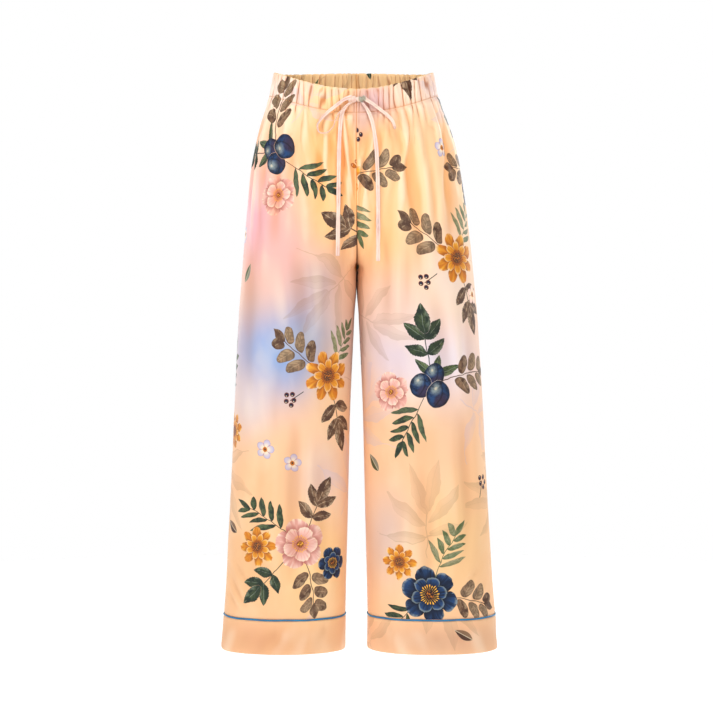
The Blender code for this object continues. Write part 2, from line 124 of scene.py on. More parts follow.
# Folds as soft troughs, in millimetres: where each starts and ends (x from the centre seam
# towards the side), how deep it is, half its width, and how far its middle bows towards
# the side.  The solids have the first five of each front leg and four of each back leg.
FOLD_COLUMNS = "top_x top_z end_x end_z depth half_width bow"
FOLDS = {
    "front_leg_left": in_metres(
        FOLD_COLUMNS,
        (95, -90, 109, -350, 6.5, 12, 3), (147, -85, 166, -290, 5.5, 10, 2),
        (51, -250, 47, -440, 5, 12, 2), (125, -320, 163, -600, 5, 16, 4),
        (106, -660, 128, -900, 5, 17, 2), (72, -66, 98, -225, 3.4, 6, 1),
        (118, -70, 146, -300, 3, 7, 2), (148, -75, 184, -200, 3.6, 6, 2),
        (84, -200, 88, -400, 2.6, 8, 2), (28, -90, 24, -240, 2.4, 6, 0),
        (190, -330, 200, -560, 2.6, 10, 1), (68, -470, 80, -760, 2.6, 12, 3),
        (186, -560, 196, -860, 3, 12, 2), (226, -870, 188, -930, 3.2, 5, 3),
        (236, -890, 206, -934, 2.4, 4, 2), (218, -845, 176, -900, 2.4, 5, 3),
    ),
    "front_leg_right": in_metres(
        FOLD_COLUMNS,
        (58, -50, 66, -200, 3.6, 5.5, 1), (135, -110, 150, -300, 3.5, 14, 2),
        (188, -250, 192, -540, 4.5, 13, 0), (98, -270, 90, -470, 3.5, 16, 3),
        (104, -570, 110, -880, 6, 15, 2), (43, -58, 45, -170, 3.4, 5, 0),
        (24, -66, 22, -200, 2.6, 5, 0), (82, -70, 94, -200, 2.2, 7, 1),
        (110, -80, 122, -240, 2, 8, 2), (160, -120, 174, -320, 2.4, 8, 1),
        (52, -330, 46, -560, 2.6, 11, 2), (132, -420, 140, -640, 2.4, 12, 3),
        (164, -600, 176, -860, 3, 13, 2), (60, -640, 58, -900, 2.4, 12, 1),
        (224, -862, 190, -926, 3.2, 5, 3), (228, -890, 204, -934, 2.4, 4, 2),
        (216, -835, 180, -890, 2.4, 5, 3),
    ),
    "back_leg_left": in_metres(
        FOLD_COLUMNS,
        (70, -90, 78, -270, 5.5, 12, 2), (128, -100, 150, -360, 6, 12, 3),
        (60, -310, 98, -540, 6, 14, 4), (120, -560, 126, -880, 5.5, 16, 2),
        (40, -70, 44, -210, 3, 7, 1), (100, -75, 112, -240, 2.8, 7, 2),
        (156, -80, 176, -250, 3, 7, 2), (30, -340, 70, -420, 3.4, 9, 6),
        (186, -420, 194, -700, 3, 12, 2), (66, -600, 72, -880, 3, 12, 2),
        (226, -870, 190, -928, 2, 4, 3),
    ),
    "back_leg_right": in_metres(
        FOLD_COLUMNS,
        (48, -80, 52, -230, 5, 10, 1), (112, -100, 132, -340, 6, 13, 3),
        (58, -300, 88, -500, 6, 14, 4), (128, -500, 118, -860, 5.5, 16, 2),
        (80, -70, 88, -220, 3, 7, 1), (146, -80, 164, -260, 3, 7, 2),
        (24, -70, 26, -180, 2.4, 6, 0), (28, -340, 64, -410, 3.4, 9, 6),
        (178, -400, 188, -680, 3, 12, 2), (64, -620, 66, -880, 3, 12, 2),
        (222, -868, 186, -926, 2, 4, 3),
    ),
}

# side is -1 on the right and 1 on the left, and facing is -1 in front and 1 behind;
# width and depth name the panel's columns of SECTIONS
Panel = namedtuple("Panel", "name side facing width depth seed")
PANELS = (
    Panel("front_leg_right", -1, -1, "right", "front", 0.7),
    Panel("front_leg_left", 1, -1, "left", "front", 2.9),
    Panel("back_leg_right", -1, 1, "right", "back", 5.3),
    Panel("back_leg_left", 1, 1, "left", "back", 7.6),
)

# ------------------------------------------------------------------ small helpers


def smooth_step(start, end, value):
    """0 at start, 1 at end, easing in and out between them."""
    share = np.clip((value - start) / (end - start), 0.0, 1.0)
    return share * share * (3 - 2 * share)


def mix(start, end, share):
    return start + (end - start) * share


def within(fade, depth):
    """1 inside a fade's full stretch, easing to 0 at both its ends."""
    return smooth_step(fade.start, fade.full, depth) * (1 - smooth_step(fade.kept, fade.end, depth))


def chance(number, seed):
    """An uneven value from 0 to 1 for each whole number, the same each run."""
    spread = np.sin(np.asarray(number) * 12.9898 + seed * 78.233) * 43758.5453
    return spread - np.floor(spread)


def uneven(number, seed):
    """The same for any number, running smoothly from each whole number to the next."""
    whole = np.floor(number)
    return mix(chance(whole, seed), chance(whole + 1, seed), smooth_step(0, 1, number - whole))


def at_level(column, z):
    """A column of the outline's table at each height, on one smooth curve."""
    heights = np.array([row.z for row in reversed(SECTIONS)])
    values = np.array([getattr(row, column) for row in reversed(SECTIONS)])
    before = np.maximum(np.arange(len(heights)) - 1, 0)
    after = np.minimum(np.arange(len(heights)) + 1, len(heights) - 1)
    slopes = (values[after] - values[before]) / (heights[after] - heights[before])
    z = np.clip(z, heights[0], heights[-1])
    lower = np.clip(np.searchsorted(heights, z, side="right") - 1, 0, len(heights) - 2)
    span = heights[lower + 1] - heights[lower]
    share = (z - heights[lower]) / span
    return ((1 + 2 * share) * (1 - share) ** 2 * values[lower]
            + share ** 2 * (3 - 2 * share) * values[lower + 1]
            + share * (1 - share) ** 2 * span * slopes[lower]
            + share ** 2 * (share - 1) * span * slopes[lower + 1])


# ------------------------------------------------------------------ the cloth's form


def leg_share(across, z):
    """0 where the section is a hip's, 1 where it is a leg's."""
    top = mix(CROTCH_CURVE_TOP_Z, LEG_FORM_TOP_Z, smooth_step(0, 0.60, across))
    bottom = mix(CROTCH_Z, LEG_FORM_END_Z, smooth_step(0, 0.35, across))
    drop = np.clip((top - z) / (top - bottom), 0.0, 1.0)
    curve = 1 - np.sqrt(1 - drop * drop)
    return mix(curve, smooth_step(0, 1, drop), smooth_step(0, 0.12, across))


def across_at(v, z):
    """How far across the half width a column lies: even round the waist and the leg."""
    waist = np.sin(np.pi / 2 * (v - EVEN_SPREAD * np.sin(np.pi * v)))
    leg = (1 - np.cos(np.pi * v)) / 2
    return mix(waist, leg, smooth_step(WAIST_EDGE_Z, CROTCH_Z, z))


def reach_at(across, z):
    """How much of the full depth the level section reaches at a place across it."""
    hip = np.maximum(1 - across ** HIP_ROUND, 0) ** (1 / HIP_ROUND)
    leg = np.maximum(1 - np.abs(2 * across - 1) ** LEG_ROUND, 0) ** (1 / LEG_ROUND)
    return mix(hip, leg, leg_share(across, z))


# Heights at which the gap between the legs opens, and at which the thighs meet and part
GAP_OPENS = (-0.352, -0.402)
THIGHS_MEET = (-0.205, -0.238)
THIGHS_PART = (-0.400, -0.366)


def gap_at(z):
    """Half the gap between the legs, which touch down to the middle of the thighs."""
    return at_level("gap", z) * smooth_step(*GAP_OPENS, z) + SEAM_SHOWN


def smooth_points(panel, v, z, seam=SEAM_SHOWN):
    """The cloth without gathers or folds.  v runs from the centre or inseam to the side."""
    across = across_at(v, z)
    gap = gap_at(z)
    x = gap + (at_level(panel.width, z) - gap) * across
    y = seam + (at_level(panel.depth, z) - seam) * reach_at(across, z)
    return np.stack([panel.side * x, panel.facing * y, z * np.ones_like(x)], axis=-1)


def level_normals(panel, v, z):
    """The outward direction of the smooth cloth, kept level."""
    run = (smooth_points(panel, np.minimum(v + NUDGE, 1), z)
           - smooth_points(panel, np.maximum(v - NUDGE, 0), z))
    turn = -panel.side * panel.facing
    normal = np.stack([run[..., 1] * turn, -run[..., 0] * turn, np.zeros_like(run[..., 0])], -1)
    return normal / np.linalg.norm(normal, axis=-1, keepdims=True)


def edge_levels(panel, v, depth_below):
    """The height of a row: the waist edge dips in front, and lower rows run level."""
    level = WAIST_EDGE_Z - depth_below
    centre = np.cos(np.pi / 2 * across_at(v, WAIST_EDGE_Z))
    shift = BACK_EDGE_RISE if panel.facing > 0 else -FRONT_EDGE_DROP
    keep = 1 - smooth_step(WAIST_EDGE_Z - CASING_HEIGHT, EDGE_LEVEL_Z, level)
    return level + shift * centre * keep


SCALLOP = 0.0008
SCALLOP_REACH = 0.006


def crest_of(number):
    """1 on a gather's broad crest and -1 in the tight valleys beside it."""
    return 1 - 2 * (2 * np.abs(number - np.round(number))) ** 2.5


def scallop(panel, v, depth_below):
    """How far the gathers lift and drop the casing's folded edge."""
    crest = crest_of(gather_numbers(panel, v, depth_below))
    return SCALLOP * crest * seam_calm(v) * np.exp(-depth_below / SCALLOP_REACH)


def seam_calm(v):
    """0 on the panel's edges, where the seam holds the cloth flat, and 1 away from them."""
    return smooth_step(0, SEAM_CALM, v) * smooth_step(0, SEAM_CALM, 1 - v)


def gather_numbers(panel, v, depth_below):
    """Which gather a place lies on: whole numbers on the crests, halves in the valleys."""
    drift = (0.34 * np.sin(2 * np.pi * (1.3 * v + 0.17 * panel.seed))
             + 0.26 * np.sin(2 * np.pi * (3.4 * v + 0.31 * panel.seed) + 26 * depth_below)
             + 0.10 * np.sin(2 * np.pi * (9.1 * v + 0.53 * panel.seed) + 70 * depth_below))
    return v * GATHERS_A_PANEL + drift * seam_calm(v)


# How uneven the gathers are, from the least to the most: shares of their height, and how
# far the puffs reach below the stitch line
GATHER_HEIGHTS = (0.45, 1.15)
PAIR_HEIGHTS = (0.35, 1.25)
PUFF_REACHES = (0.010, 0.085)
SIDE_CREASE = 0.24
SIDE_CREASES_A_GATHER = 2.37
STITCH_PULL = 0.0012
STITCH_PULL_WIDTH = 0.0013


def gather_relief(panel, v, depth_below):
    """Gathers of the casing, the puffs under its stitch line and the folds they join into."""
    number = gather_numbers(panel, v, depth_below)
    crest = crest_of(number)
    height = mix(*GATHER_HEIGHTS, uneven(number, panel.seed))
    below = depth_below - CASING_HEIGHT
    arch = np.sin(np.pi * np.clip(depth_below / CASING_HEIGHT, 0, 1))
    side_crease = SIDE_CREASE * np.sin(2 * np.pi * number * SIDE_CREASES_A_GATHER
                                       + 40 * depth_below)
    casing = (CASING_GATHER * mix(CASING_EDGE_SHARE, 1, arch) * (height * crest + side_crease)
              - CASING_SUNK)
    reach = mix(*PUFF_REACHES, uneven(number, panel.seed + 3) ** 1.6)
    shrink = np.exp(-(np.maximum(below, 0) / reach) ** 1.2)
    puff = PUFF_GATHER * smooth_step(0, 0.007, below) * shrink * height * crest
    pair_height = mix(*PAIR_HEIGHTS, uneven(number / 2, panel.seed + 5))
    paired = PAIRED_GATHER * within(PAIRED_FADE, below) * pair_height * np.cos(np.pi * number)
    stitched = STITCH_PULL * np.exp(-((depth_below - STITCH_DEPTH) / STITCH_PULL_WIDTH) ** 2)
    upper = CASING_GATHER * CASING_EDGE_SHARE * height * crest - CASING_SUNK
    upper = upper * (1 - smooth_step(0, 0.006, below))
    return np.where(below <= 0, casing, upper + puff + paired) - stitched


def fold_relief(panel, x, z):
    """The long folds, all soft troughs with a slight ridge on either side."""
    relief = np.zeros_like(x)
    for fold in FOLDS[panel.name]:
        share = np.clip((fold.top_z - z) / (fold.top_z - fold.end_z), 0, 1)
        arch = np.sin(np.pi * share)
        middle = mix(fold.top_x, fold.end_x, share) + fold.bow * arch
        aside = (np.abs(x) - middle) / fold.half_width
        trough = np.exp(-aside * aside) - 0.22 * np.exp(-((np.abs(aside) - 1.9) / 0.8) ** 2)
        relief -= fold.depth * arch ** 0.8 * trough
    return relief


LONG_WAVE, LONG_WAVE_WIDTH = 0.0011, 0.074
SHORT_WAVE, SHORT_WAVE_WIDTH = 0.0004, 0.031
SWAY_LENGTH = 0.52
FADE_LENGTH = 0.37
WAVES_START = (-0.12, -0.26)


def soft_relief(panel, x, z):
    """The slow unevenness of hanging satin."""
    sway = 0.35 * np.sin(2 * np.pi * z / SWAY_LENGTH + panel.seed)
    long_wave = np.sin(2 * np.pi * (np.abs(x) / LONG_WAVE_WIDTH + sway) + 1.9 * panel.seed)
    fade = 0.55 + 0.45 * np.sin(2 * np.pi * z / FADE_LENGTH + 2.3 * panel.seed)
    short_wave = np.sin(2 * np.pi * (np.abs(x) / SHORT_WAVE_WIDTH - 1.6 * sway)
                        + 0.7 * panel.seed)
    return (smooth_step(*WAVES_START, z)
            * (LONG_WAVE * long_wave * fade + SHORT_WAVE * short_wave * (1 - fade)))


def legs_touch(z):
    """1 where the thighs lie against each other, fading to 0 above and below."""
    return smooth_step(*THIGHS_PART, z) * smooth_step(*THIGHS_MEET, z)


def lean(points):
    """How touching thighs press into each other: both to one side in front, back behind."""
    near = np.exp(-(points[..., 0] / 0.012) ** 2) * legs_touch(points[..., 2])
    return -0.0008 * near * np.clip(points[..., 1] / 0.060, -1, 1)


SEAM_GROOVE, SEAM_GROOVE_WIDTH = 0.0006, 0.0012
PUCKER, PUCKER_LENGTH, PUCKER_REACH = 0.00032, 0.0105, 0.0045


def seam_relief(panel, distance, v, z):
    """The groove of a seam and the small puckers along it, but none where legs touch."""
    touching = legs_touch(z) * (v < 0.5)
    groove = SEAM_GROOVE * np.exp(-(distance / SEAM_GROOVE_WIDTH) ** 2) * (1 - touching)
    beat = np.sin(2 * np.pi * z / PUCKER_LENGTH
                  + 1.3 * np.sin(2 * np.pi * z / 0.067 + panel.seed))
    pucker = (PUCKER * beat * np.exp(-distance / PUCKER_REACH)
              * (1 - np.exp(-distance / SEAM_GROOVE_WIDTH)))
    return pucker * (1 - touching) - groove


def distance_to_seams(points):
    """How far each point lies along its row: from the nearer end, and from the first."""
    steps = np.linalg.norm(np.diff(points, axis=1), axis=2)
    along = np.concatenate([np.zeros((len(points), 1)), np.cumsum(steps, axis=1)], axis=1)
    return np.minimum(along, along[:, -1:] - along), along


HEM_TUCK, HEM_TUCK_WIDTH = 0.0007, 0.0035
FOLDS_FADE, FOLDS_END = 0.030, 0.004


def cloth_grid(panel, v, depth_below):
    """Outer points, outward directions, relief and arc lengths of a grid of the panel."""
    z = edge_levels(panel, v, depth_below)
    smooth = smooth_points(panel, v, z)
    normal = level_normals(panel, v, z)
    to_seam, along = distance_to_seams(smooth)
    near_hem = 1 - smooth_step(PANEL_HEM_Z + FOLDS_FADE, PANEL_HEM_Z + FOLDS_END, z)
    relief = gather_relief(panel, v, depth_below)
    relief = relief + (fold_relief(panel, smooth[..., 0], z)
                       + soft_relief(panel, smooth[..., 0], z)) * near_hem
    tuck = HEM_TUCK * np.exp(-((z - PANEL_HEM_Z) / HEM_TUCK_WIDTH) ** 2)
    relief = relief * seam_calm(v) + seam_relief(panel, to_seam, v, z) - tuck
    smooth[..., 2] += scallop(panel, v, depth_below)
    return smooth, normal, relief, along


def held_in(panel, points, z):
    """Points kept on their own side of the seams."""
    gap = gap_at(z)
    points[..., 0] = panel.side * np.maximum(points[..., 0] * panel.side, gap)
    points[..., 1] = panel.facing * np.maximum(points[..., 1] * panel.facing, SEAM_SHOWN)
    return points


def with_allowances(panel, points, lengths):
    """Adds the seam allowances: the cloth turned in along both its long edges."""
    share = leg_share(0.0, points[:, :1, 2])
    to_inside = np.stack([panel.side * share, -panel.facing * (1 - share), 0 * share], axis=-1)
    to_inside /= np.linalg.norm(to_inside, axis=-1, keepdims=True)
    first = points[:, :1] + to_inside * SEAM_ALLOWANCE
    first[..., 0] -= panel.side * SEAM_SHOWN * (1 - share)
    last = points[:, -1:] - np.array([panel.side * SEAM_ALLOWANCE, 0, 0])
    last[..., 1] = 0
    return (np.concatenate([first, points, last], axis=1),
            np.concatenate([lengths[:, :1] - SEAM_ALLOWANCE, lengths,
                            lengths[:, -1:] + SEAM_ALLOWANCE], axis=1))


# ------------------------------------------------------------------ the print's layout

# One repeat of the cloth, and where each panel is cut from it
REPEAT = (0.620, 0.780)
PRINT_SCALE = 1.28
Cut = namedtuple("Cut", "x y")
CUTS = {
    "front_leg_right": Cut(0.194, 0.415),
    "front_leg_left": Cut(0.800, 0.300),
    "back_leg_right": Cut(0.300, 0.660),
    "back_leg_left": Cut(0.420, 0.880),
    "hem_band_right": Cut(0.335, 0.250),
    "hem_band_left": Cut(0.020, 0.640),
}

# What a motif is: the layer of the print that it lies on, and its number there
Kind = namedtuple("Kind", "layer number")
POINTED, ROUNDED, BROAD = (Kind("leaf", number) for number in (1, 2, 3))
ANEMONE, COSMOS, ROSE, PLUMS = (Kind("bloom", number) for number in (1, 2, 3, 4))
BLOSSOM, BERRIES, LEAFLET = (Kind("scatter", number) for number in (1, 2, 3))
FROND = Kind("frond", 1)

# A posy's parts lie round its middle: direction in degrees, how far out, and size
PART_COLUMNS = "direction away radius kind tone"
ANEMONE_POSY = table(
    PART_COLUMNS,
    (0, 0.000, 0.043, ANEMONE, 0.3),
    (-118, 0.060, 0.027, COSMOS, 0.4),
    (34, 0.062, 0.050, BROAD, 0.1),
    (-32, 0.066, 0.048, POINTED, 0.2),
    (104, 0.062, 0.044, ROUNDED, 0.2),
    (180, 0.070, 0.046, POINTED, 0.9),
    (82, 0.092, 0.015, BERRIES, 0.2),
    (-160, 0.120, 0.072, FROND, 0.2),
)
PLUM_TWIG = table(
    PART_COLUMNS,
    (0, 0.000, 0.040, PLUMS, 0.2),
    (116, 0.060, 0.029, ROSE, 0.3),
    (24, 0.062, 0.052, BROAD, 0.9),
    (-58, 0.060, 0.048, ROUNDED, 0.1),
    (164, 0.070, 0.048, POINTED, 0.3),
    (-105, 0.112, 0.070, FROND, 0.8),
)
ROSE_POSY = table(
    PART_COLUMNS,
    (0, 0.000, 0.037, ROSE, 0.2),
    (64, 0.060, 0.030, COSMOS, 0.6),
    (-150, 0.058, 0.026, ANEMONE, 0.7),
    (20, 0.066, 0.048, POINTED, 0.1),
    (-54, 0.058, 0.046, BROAD, 0.2),
    (108, 0.074, 0.044, BROAD, 0.9),
    (168, 0.064, 0.044, ROUNDED, 0.3),
    (-24, 0.112, 0.014, BLOSSOM, 0.3),
)
COSMOS_SPRIG = table(
    PART_COLUMNS,
    (0, 0.000, 0.038, COSMOS, 0.5),
    (38, 0.056, 0.046, ROUNDED, 0.2),
    (-48, 0.054, 0.044, POINTED, 0.8),
    (176, 0.062, 0.050, BROAD, 0.2),
    (100, 0.060, 0.016, BERRIES, 0.7),
    (-120, 0.100, 0.070, FROND, 0.4),
)
POSIES = table(
    "parts x y turn",
    (ANEMONE_POSY, 0.120, 0.640, 0),
    (COSMOS_SPRIG, 0.330, 0.690, 20),
    (PLUM_TWIG, 0.510, 0.590, -15),
    (ROSE_POSY, 0.290, 0.460, 30),
    (COSMOS_SPRIG, 0.090, 0.400, 195),
    (ANEMONE_POSY, 0.500, 0.300, 160),
    (PLUM_TWIG, 0.230, 0.215, 70),
    (ROSE_POSY, 0.050, 0.110, -70),
    (COSMOS_SPRIG, 0.400, 0.085, 250),
    (COSMOS_SPRIG, 0.560, 0.760, 20),
)
Motif = namedtuple("Motif", "x y radius turn kind tone")
LONE_MOTIFS = (
    Motif(0.240, 0.590, 0.015, 0, BLOSSOM, 0.3),
    Motif(0.420, 0.480, 0.016, 40, LEAFLET, 0.5),
    Motif(0.590, 0.710, 0.015, 10, BLOSSOM, 0.8),
    Motif(0.590, 0.450, 0.017, -20, BERRIES, 0.7),
    Motif(0.180, 0.480, 0.016, 60, LEAFLET, 0.1),
    Motif(0.350, 0.340, 0.015, 15, BLOSSOM, 0.5),
    Motif(0.110, 0.270, 0.016, -50, LEAFLET, 0.9),
    Motif(0.360, 0.190, 0.017, 10, BERRIES, 0.1),
    Motif(0.560, 0.130, 0.015, 20, BLOSSOM, 0.4),
    Motif(0.190, 0.050, 0.016, -30, LEAFLET, 0.7),
    Motif(0.400, 0.560, 0.078, -35, FROND, 0.7),
    Motif(0.020, 0.500, 0.072, 25, FROND, 0.3),
    Motif(0.600, 0.200, 0.070, 50, FROND, 0.6),
)


def laid_out():
    """Every motif of the repeat, by layer."""
    motifs = []
    for posy in POSIES:
        for part in posy.parts:
            turn = posy.turn + part.direction
            x = posy.x - math.sin(math.radians(turn)) * part.away
            y = posy.y + math.cos(math.radians(turn)) * part.away
            motifs.append(Motif(x, y, part.radius, turn, part.kind, part.tone))
    motifs.extend(LONE_MOTIFS)
    return {layer: [motif for motif in motifs if motif.kind.layer == layer]
            for layer in ("leaf", "bloom", "scatter", "frond")}


LAYERS = laid_out()
# How far from a motif's middle its faces may lie, in radii of the motif
CELL_REACH = 1.12


def place_motifs(mesh, corners, shown=("leaf", "bloom", "scatter", "frond")):
    """Gives every face the local coordinates, kind and tone of the motif it lies on.

    corners are the cloth coordinates of each face's four corners, in metres on the
    repeat; a face that no motif of the shown layers reaches gets kind 0.
    """
    corners = corners / PRINT_SCALE
    middle = corners.mean(axis=1)
    repeat = np.array(REPEAT)
    for layer, motifs in LAYERS.items():
        best = np.full(len(middle), CELL_REACH)
        local = np.zeros_like(corners)
        kind = np.zeros(len(middle))
        tone = np.zeros(len(middle))
        for motif in motifs if layer in shown else ():
            centre = np.array([motif.x, motif.y])
            offset = middle - centre
            shift = np.round(offset / repeat) * repeat
            away = np.linalg.norm(offset - shift, axis=1) / motif.radius
            near = away < best
            best[near] = away[near]
            turn = math.radians(motif.turn)
            spin = np.array([[math.cos(turn), -math.sin(turn)], [math.sin(turn), math.cos(turn)]])
            place = corners[near] - centre - shift[near][:, None, :]
            local[near] = place @ spin / motif.radius
            kind[near] = motif.kind.number
            tone[near] = motif.tone
        set_corner_map(mesh, layer, local)
        set_values(mesh, layer + "_kind", kind, "FACE")
        set_values(mesh, layer + "_tone", tone, "FACE")


# ------------------------------------------------------------------ the ground's colours


def colour(code):
    """A linear colour from its six-digit screen code."""
    shares = [int(code[i:i + 2], 16) / 255 for i in (0, 2, 4)]
    return tuple(s / 12.92 if s <= 0.04045 else ((s + 0.055) / 1.055) ** 2.4 for s in shares)


Stain = namedtuple("Stain", "x z wide tall colour strength")


def stains(*rows):
    """Stains from rows with their lengths in millimetres."""
    return [Stain(x / 1000, z / 1000, wide / 1000, tall / 1000, colour(code), strength)
            for x, z, wide, tall, code, strength in rows]


GROUND = colour("fac596")
DYE = np.array((0.955, 0.955, 0.965))
# Soft stains of colour in the ombre ground in front (-1) and behind (1): where the middle
# lies, the reach across and down, the colour and how strong it is
STAINS = {
    -1: stains(
        (-130, -20, 55, 40, "fdebe2", 0.95), (-115, -75, 60, 50, "fbd8b0", 0.85),
        (-50, -110, 55, 85, "fbbb76", 0.95), (-180, -235, 62, 105, "ebb0ba", 1.0),
        (-115, -285, 55, 75, "ecb0a8", 0.9), (-50, -220, 40, 80, "fbbf7a", 0.8),
        (-15, -190, 20, 110, "f2aa64", 0.9), (-65, -345, 50, 52, "c8a8a2", 0.9),
        (-140, -470, 98, 84, "86a8dc", 1.0), (-185, -560, 40, 60, "dccfd2", 0.8),
        (-80, -462, 50, 70, "7c94bc", 0.95), (-45, -540, 40, 100, "f8ca94", 0.7),
        (-140, -690, 65, 80, "eebb8c", 0.6), (-62, -690, 42, 68, "dabeb8", 0.8),
        (-180, -850, 60, 80, "ecb884", 0.8), (-70, -840, 50, 110, "f6c684", 0.8),
        (-150, -975, 120, 34, "e2a678", 0.95), (110, -160, 88, 115, "fcd4a4", 0.95),
        (48, -110, 34, 80, "f9bc7e", 0.8), (140, -10, 60, 35, "f5d8c8", 0.9),
        (30, -32, 36, 30, "e2b8bc", 0.9), (-38, -18, 30, 24, "fee4a8", 0.8),
        (88, -14, 34, 24, "fce4cc", 0.7), (10, -64, 17, 30, "cfa79c", 0.75),
        (35, -270, 45, 90, "fcc07e", 0.85), (140, -485, 88, 88, "e4dce6", 0.95),
        (62, -450, 55, 75, "d2c6d6", 0.85), (60, -385, 55, 65, "eac4ae", 0.85),
        (165, -340, 50, 80, "f2dccc", 0.85), (110, -620, 60, 70, "e8b88c", 0.85),
        (56, -790, 45, 85, "d4b8b0", 0.8), (170, -800, 70, 100, "f0c48a", 0.8),
        (150, -975, 130, 34, "dba986", 0.95),
    ),
    1: stains(
        (-110, -90, 70, 70, "fdc97c", 0.8), (-60, -250, 60, 80, "f6b8a8", 0.8),
        (-160, -330, 50, 80, "fbcc94", 0.7), (-120, -530, 60, 80, "a0b0d6", 0.95),
        (-60, -600, 40, 60, "ccb4c8", 0.7), (-150, -750, 60, 80, "f6b48c", 0.7),
        (-120, -900, 80, 60, "fbcc8c", 0.7), (110, -80, 70, 60, "f7cdb4", 0.7),
        (80, -240, 70, 90, "fdc674", 0.9), (170, -280, 40, 90, "f6b8b0", 0.8),
        (120, -470, 60, 80, "e0b4ba", 0.85), (170, -600, 45, 70, "b0b6da", 0.8),
        (70, -650, 50, 70, "f9c488", 0.7), (140, -830, 70, 80, "f6b890", 0.7),
        (150, -975, 130, 30, "eab994", 0.9), (-150, -975, 120, 30, "f6c09a", 0.8),
    ),
}


def ground_colours(facing, points):
    """The ombre ground's colour at every point."""
    colours = np.ones(points.shape[:-1] + (3,)) * np.array(GROUND)
    for stain in STAINS[facing]:
        dx = (points[..., 0] - stain.x) / stain.wide
        dz = (points[..., 2] - stain.z) / stain.tall
        share = stain.strength * np.exp(-(dx * dx + dz * dz))[..., None]
        colours = mix(colours, np.array(stain.colour), share)
    return colours * DYE


# ------------------------------------------------------------------ meshes


def grid_faces(rows, columns, wrap=False):
    """Quads of a grid of points, and for a ring the last column joined to the first."""
    index = np.arange(rows * columns).reshape(rows, columns)
    ahead = np.roll(index, -1, axis=1)
    if not wrap:
        index, ahead = index[:, :-1], index[:, 1:]
    return np.stack([index[:-1], index[1:], ahead[1:], ahead[:-1]], axis=-1).reshape(-1, 4)


def grid_corners(values, wrap=None):
    """A value of each point of a grid, for the four corners of each of its quads."""
    if wrap is not None:
        values = np.concatenate([values, values[:, :1] + wrap], axis=1)
    return np.stack([values[:-1, :-1], values[1:, :-1], values[1:, 1:], values[:-1, 1:]],
                    axis=2).reshape(-1, 4, values.shape[-1])


def new_piece(name, points, faces, material, smooth=True):
    """An object from points and faces, with its material."""
    if isinstance(faces, np.ndarray):
        faces = faces.tolist()
    mesh = bpy.data.meshes.new(name)
    mesh.from_pydata(np.asarray(points).reshape(-1, 3).tolist(), [], faces)
    mesh.update()
    if smooth:
        mesh.shade_smooth()
    mesh.materials.append(material)
    piece = bpy.data.objects.new(name, mesh)
    bpy.context.scene.collection.objects.link(piece)
    return piece


def fit(piece, slot, *nodes):
    """Rides a piece on the body, in the place of the nodes it stands for; slot is not used."""
    if nodes:
        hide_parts(*nodes)
    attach(piece, "root")


def thicken(piece):
    """Gives a sheet its thickness, inwards, with the cloth's reverse on the inner side."""
    piece.data.materials.append(PRINT_REVERSE)
    solidify = piece.modifiers.new("thickness", "SOLIDIFY")
    solidify.thickness = CLOTH
    solidify.offset = -1
    solidify.use_even_offset = False
    solidify.material_offset = 1


def set_corner_map(mesh, name, corners):
    """Coordinates for the corners of every face."""
    layer_map = mesh.uv_layers.new(name=name)
    layer_map.uv.foreach_set("vector", np.asarray(corners).reshape(-1).astype(np.float32))


def set_values(mesh, name, values, domain="POINT"):
    """A number for every point or face."""
    attribute = mesh.attributes.new(name, "FLOAT", domain)
    attribute.data.foreach_set("value", values.reshape(-1).astype(np.float32))


LEVEL_SHADE = 0.62
SHADED_RELIEF = 0.0085


def set_shade(mesh, relief):
    """How deep in a fold each point lies: 0 in the valleys and 1 on the crests; the materials paint
    shade into the valleys and a highlight onto the crests from it.
    """
    set_values(mesh, "shade", np.clip(LEVEL_SHADE + relief / SHADED_RELIEF, 0, 1))


def set_ground(mesh, colours):
    """The ground's colour for every point."""
    attribute = mesh.color_attributes.new("ground", "FLOAT_COLOR", "POINT")
    shades = np.concatenate([colours.reshape(-1, 3), np.ones((colours.size // 3, 1))], axis=1)
    attribute.data.foreach_set("color", shades.reshape(-1).astype(np.float32))


# ------------------------------------------------------------------ materials


def operation(name):
    """A method that adds a Math node of one kind."""
    return lambda value, *others: value.math(name, *others)


class Value:
    """A number in a node tree; arithmetic on it adds Math nodes."""

    def __init__(self, tree, socket):
        self.tree = tree
        self.socket = socket

    def math(self, kind, *others):
        node = self.tree.nodes.new("ShaderNodeMath")
        node.operation = kind
        for target, source in zip(node.inputs, (self,) + others):
            if isinstance(source, Value):
                self.tree.links.new(source.socket, target)
            else:
                target.default_value = source
        return Value(self.tree, node.outputs[0])

    __add__ = __radd__ = operation("ADD")
    __mul__ = __rmul__ = operation("MULTIPLY")
    __sub__ = operation("SUBTRACT")
    __truediv__ = operation("DIVIDE")
    __pow__ = operation("POWER")
    sine = operation("SINE")
    cosine = operation("COSINE")
    size = operation("ABSOLUTE")
    floor = operation("FLOOR")
    part = operation("FRACT")
    least = operation("MINIMUM")
    most = operation("MAXIMUM")
    above = operation("GREATER_THAN")

    def __rsub__(self, other):
        return self * -1 + other

    def is_near(self, number):
        return self.math("COMPARE", float(number), 0.4)

    def step(self, start, end):
        """0 up to start and 1 from end, easing between; start may be the larger."""
        node = self.tree.nodes.new("ShaderNodeMapRange")
        node.interpolation_type = "SMOOTHSTEP"
        self.tree.links.new(self.socket, node.inputs["Value"])
        low, high = (start, end) if start < end else (end, start)
        node.inputs["From Min"].default_value = low
        node.inputs["From Max"].default_value = high
        result = Value(self.tree, node.outputs["Result"])
        return result if start < end else 1 - result


